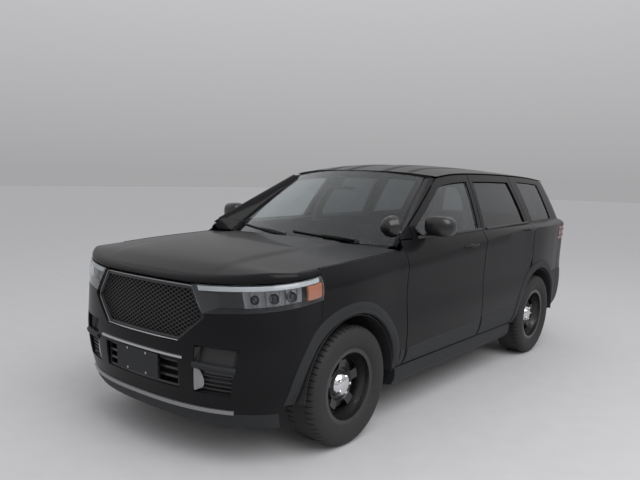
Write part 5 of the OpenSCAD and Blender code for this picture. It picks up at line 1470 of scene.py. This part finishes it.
def gate_strip(turn0, z0, z1, d):
    """Strip across the liftgate from a number of degrees round the tail, with its edges sunk."""
    turns = np.linspace(turn0, 90, 20)
    rows = (z0, z0 + 3, mix(z0, z1, 0.5), z1 - 3, z1)
    return sheet(*[[across([wall(gate_place(t), z, 3 if inner or i in (0, 4) else d) for t in turns])
                    for i, z in enumerate(rows)] for inner in (False, True)])


cabin_mirror = moved(cushion(CABIN_MIRROR_HALF, 0.5), CABIN_MIRROR_AT + vec(0, 20, -10))
mirror_stay = tube([shield(0, 0.86, 7), CABIN_MIRROR_AT + vec(0, 12, 0)], 7)
make("cabin_mirror", joined(cabin_mirror, mirror_stay), CABIN)
screws = [tube([vec(x, NOSE_Y - SCREW_HALF, z), vec(x, NOSE_Y + SCREW_HALF, z)], SCREW_R, 12)
          for x, z in PLATE_HOLES]
make("plate_screws", joined(*screws), PIPE)
make("liftgate_grip", gate_strip(62, 975, 1015, -12), TRIM, "liftgate", bevel=3)
make("liftgate_crease_strip", gate_strip(47, 1150, 1166, -6), GRILLE, "liftgate", bevel=1.5)
brake_lamp = moved(block((-170, -9, -7), (170, 3, 7)), gate_upper(90, False)[1] + vec(0, 4, -14))
make("high_brake_lamp", brake_lamp, RED, "liftgate", bevel=2)
rear_marks = wall_strip([float(tail_place(y, 600)) for y in np.linspace(CAP_R + 250, CAP_R + 330, 8)],
                        lambda y: (560, 563, 590, 617, 620), -3, 2)
make("rear_reflectors", both(rear_marks), RED, bevel=1)

# Floor, world and light, in metres and watts
FLOOR_SIZE = 120
SKY_SHADES, SKY_PLACES, SKY_STRENGTH = (0.55, 1.0), (0.0, 0.45), 0.68
KEY_AT, KEY_AIM, KEY_SIZE, KEY_POWER = Vector((6.0, -2.5, 7.5)), Vector((0.5, -0.5, 0.6)), 8, 520
floor_look = surface("pale_floor", (0.58, 0.58, 0.59), 0.7, scale=6, vary=0.02, bump=0)
bpy.ops.mesh.primitive_plane_add(size=FLOOR_SIZE)
floor = bpy.context.object
floor.name = "floor"
floor.data.materials.append(floor_look)

scene = bpy.context.scene
world = bpy.data.worlds.new("studio")
scene.world = world
world.use_nodes = True
sky_nodes, sky_links = world.node_tree.nodes, world.node_tree.links
sky = sky_nodes["Background"]
sky_coords = sky_nodes.new("ShaderNodeTexCoord")
sky_split = sky_nodes.new("ShaderNodeSeparateXYZ")
sky_ramp = sky_nodes.new("ShaderNodeValToRGB")
for stop, shade, place in zip(sky_ramp.color_ramp.elements, SKY_SHADES, SKY_PLACES):
    stop.color = (shade, shade, shade * 1.02, 1)
    stop.position = place
sky_links.new(sky_coords.outputs["Generated"], sky_split.inputs["Vector"])
sky_links.new(sky_split.outputs["Z"], sky_ramp.inputs["Fac"])
sky_links.new(sky_ramp.outputs["Color"], sky.inputs["Color"])
sky.inputs["Strength"].default_value = SKY_STRENGTH

key_light = bpy.data.lights.new("key", "AREA")
key_light.shape = "RECTANGLE"
key_light.size, key_light.size_y = KEY_SIZE, KEY_SIZE
key_light.energy = KEY_POWER
key = bpy.data.objects.new("key", key_light)
key.location = KEY_AT
key.rotation_euler = (KEY_AIM - KEY_AT).to_track_quat("-Z", "Y").to_euler()
key.visible_camera = False
scene.collection.objects.link(key)

# Camera at the photograph's place, in metres and radians; the frame is 640 by 480 pixels
PHOTO_W, PHOTO_H = 640, 480
FOCAL_PX = 637.88
MIDDLE_PX = (315.486, 314.133)
YAW, PITCH, ROLL = -0.6779, -0.2124, 0.0260
CAMERA_AT = (3.13814, -4.72257, 1.64423)
SENSOR_MM = 36
camera_data = bpy.data.cameras.new("camera")
camera_data.sensor_width = SENSOR_MM
camera_data.lens = FOCAL_PX * SENSOR_MM / PHOTO_W
camera_data.shift_x = (PHOTO_W / 2 - MIDDLE_PX[0]) / PHOTO_W
camera_data.shift_y = (MIDDLE_PX[1] - PHOTO_H / 2) / PHOTO_W
camera = bpy.data.objects.new("camera", camera_data)
scene.collection.objects.link(camera)
ahead = Vector((math.cos(PITCH) * math.sin(YAW), math.cos(PITCH) * math.cos(YAW), math.sin(PITCH)))
right = ahead.cross(Vector((0, 0, 1))).normalized()
up = right.cross(ahead)
right, up = (math.cos(ROLL) * right + math.sin(ROLL) * up, math.cos(ROLL) * up - math.sin(ROLL) * right)
camera.matrix_world = Matrix((*zip(right, up, -ahead, CAMERA_AT), (0, 0, 0, 1)))
scene.camera = camera
scene.view_settings.view_transform = "Standard"
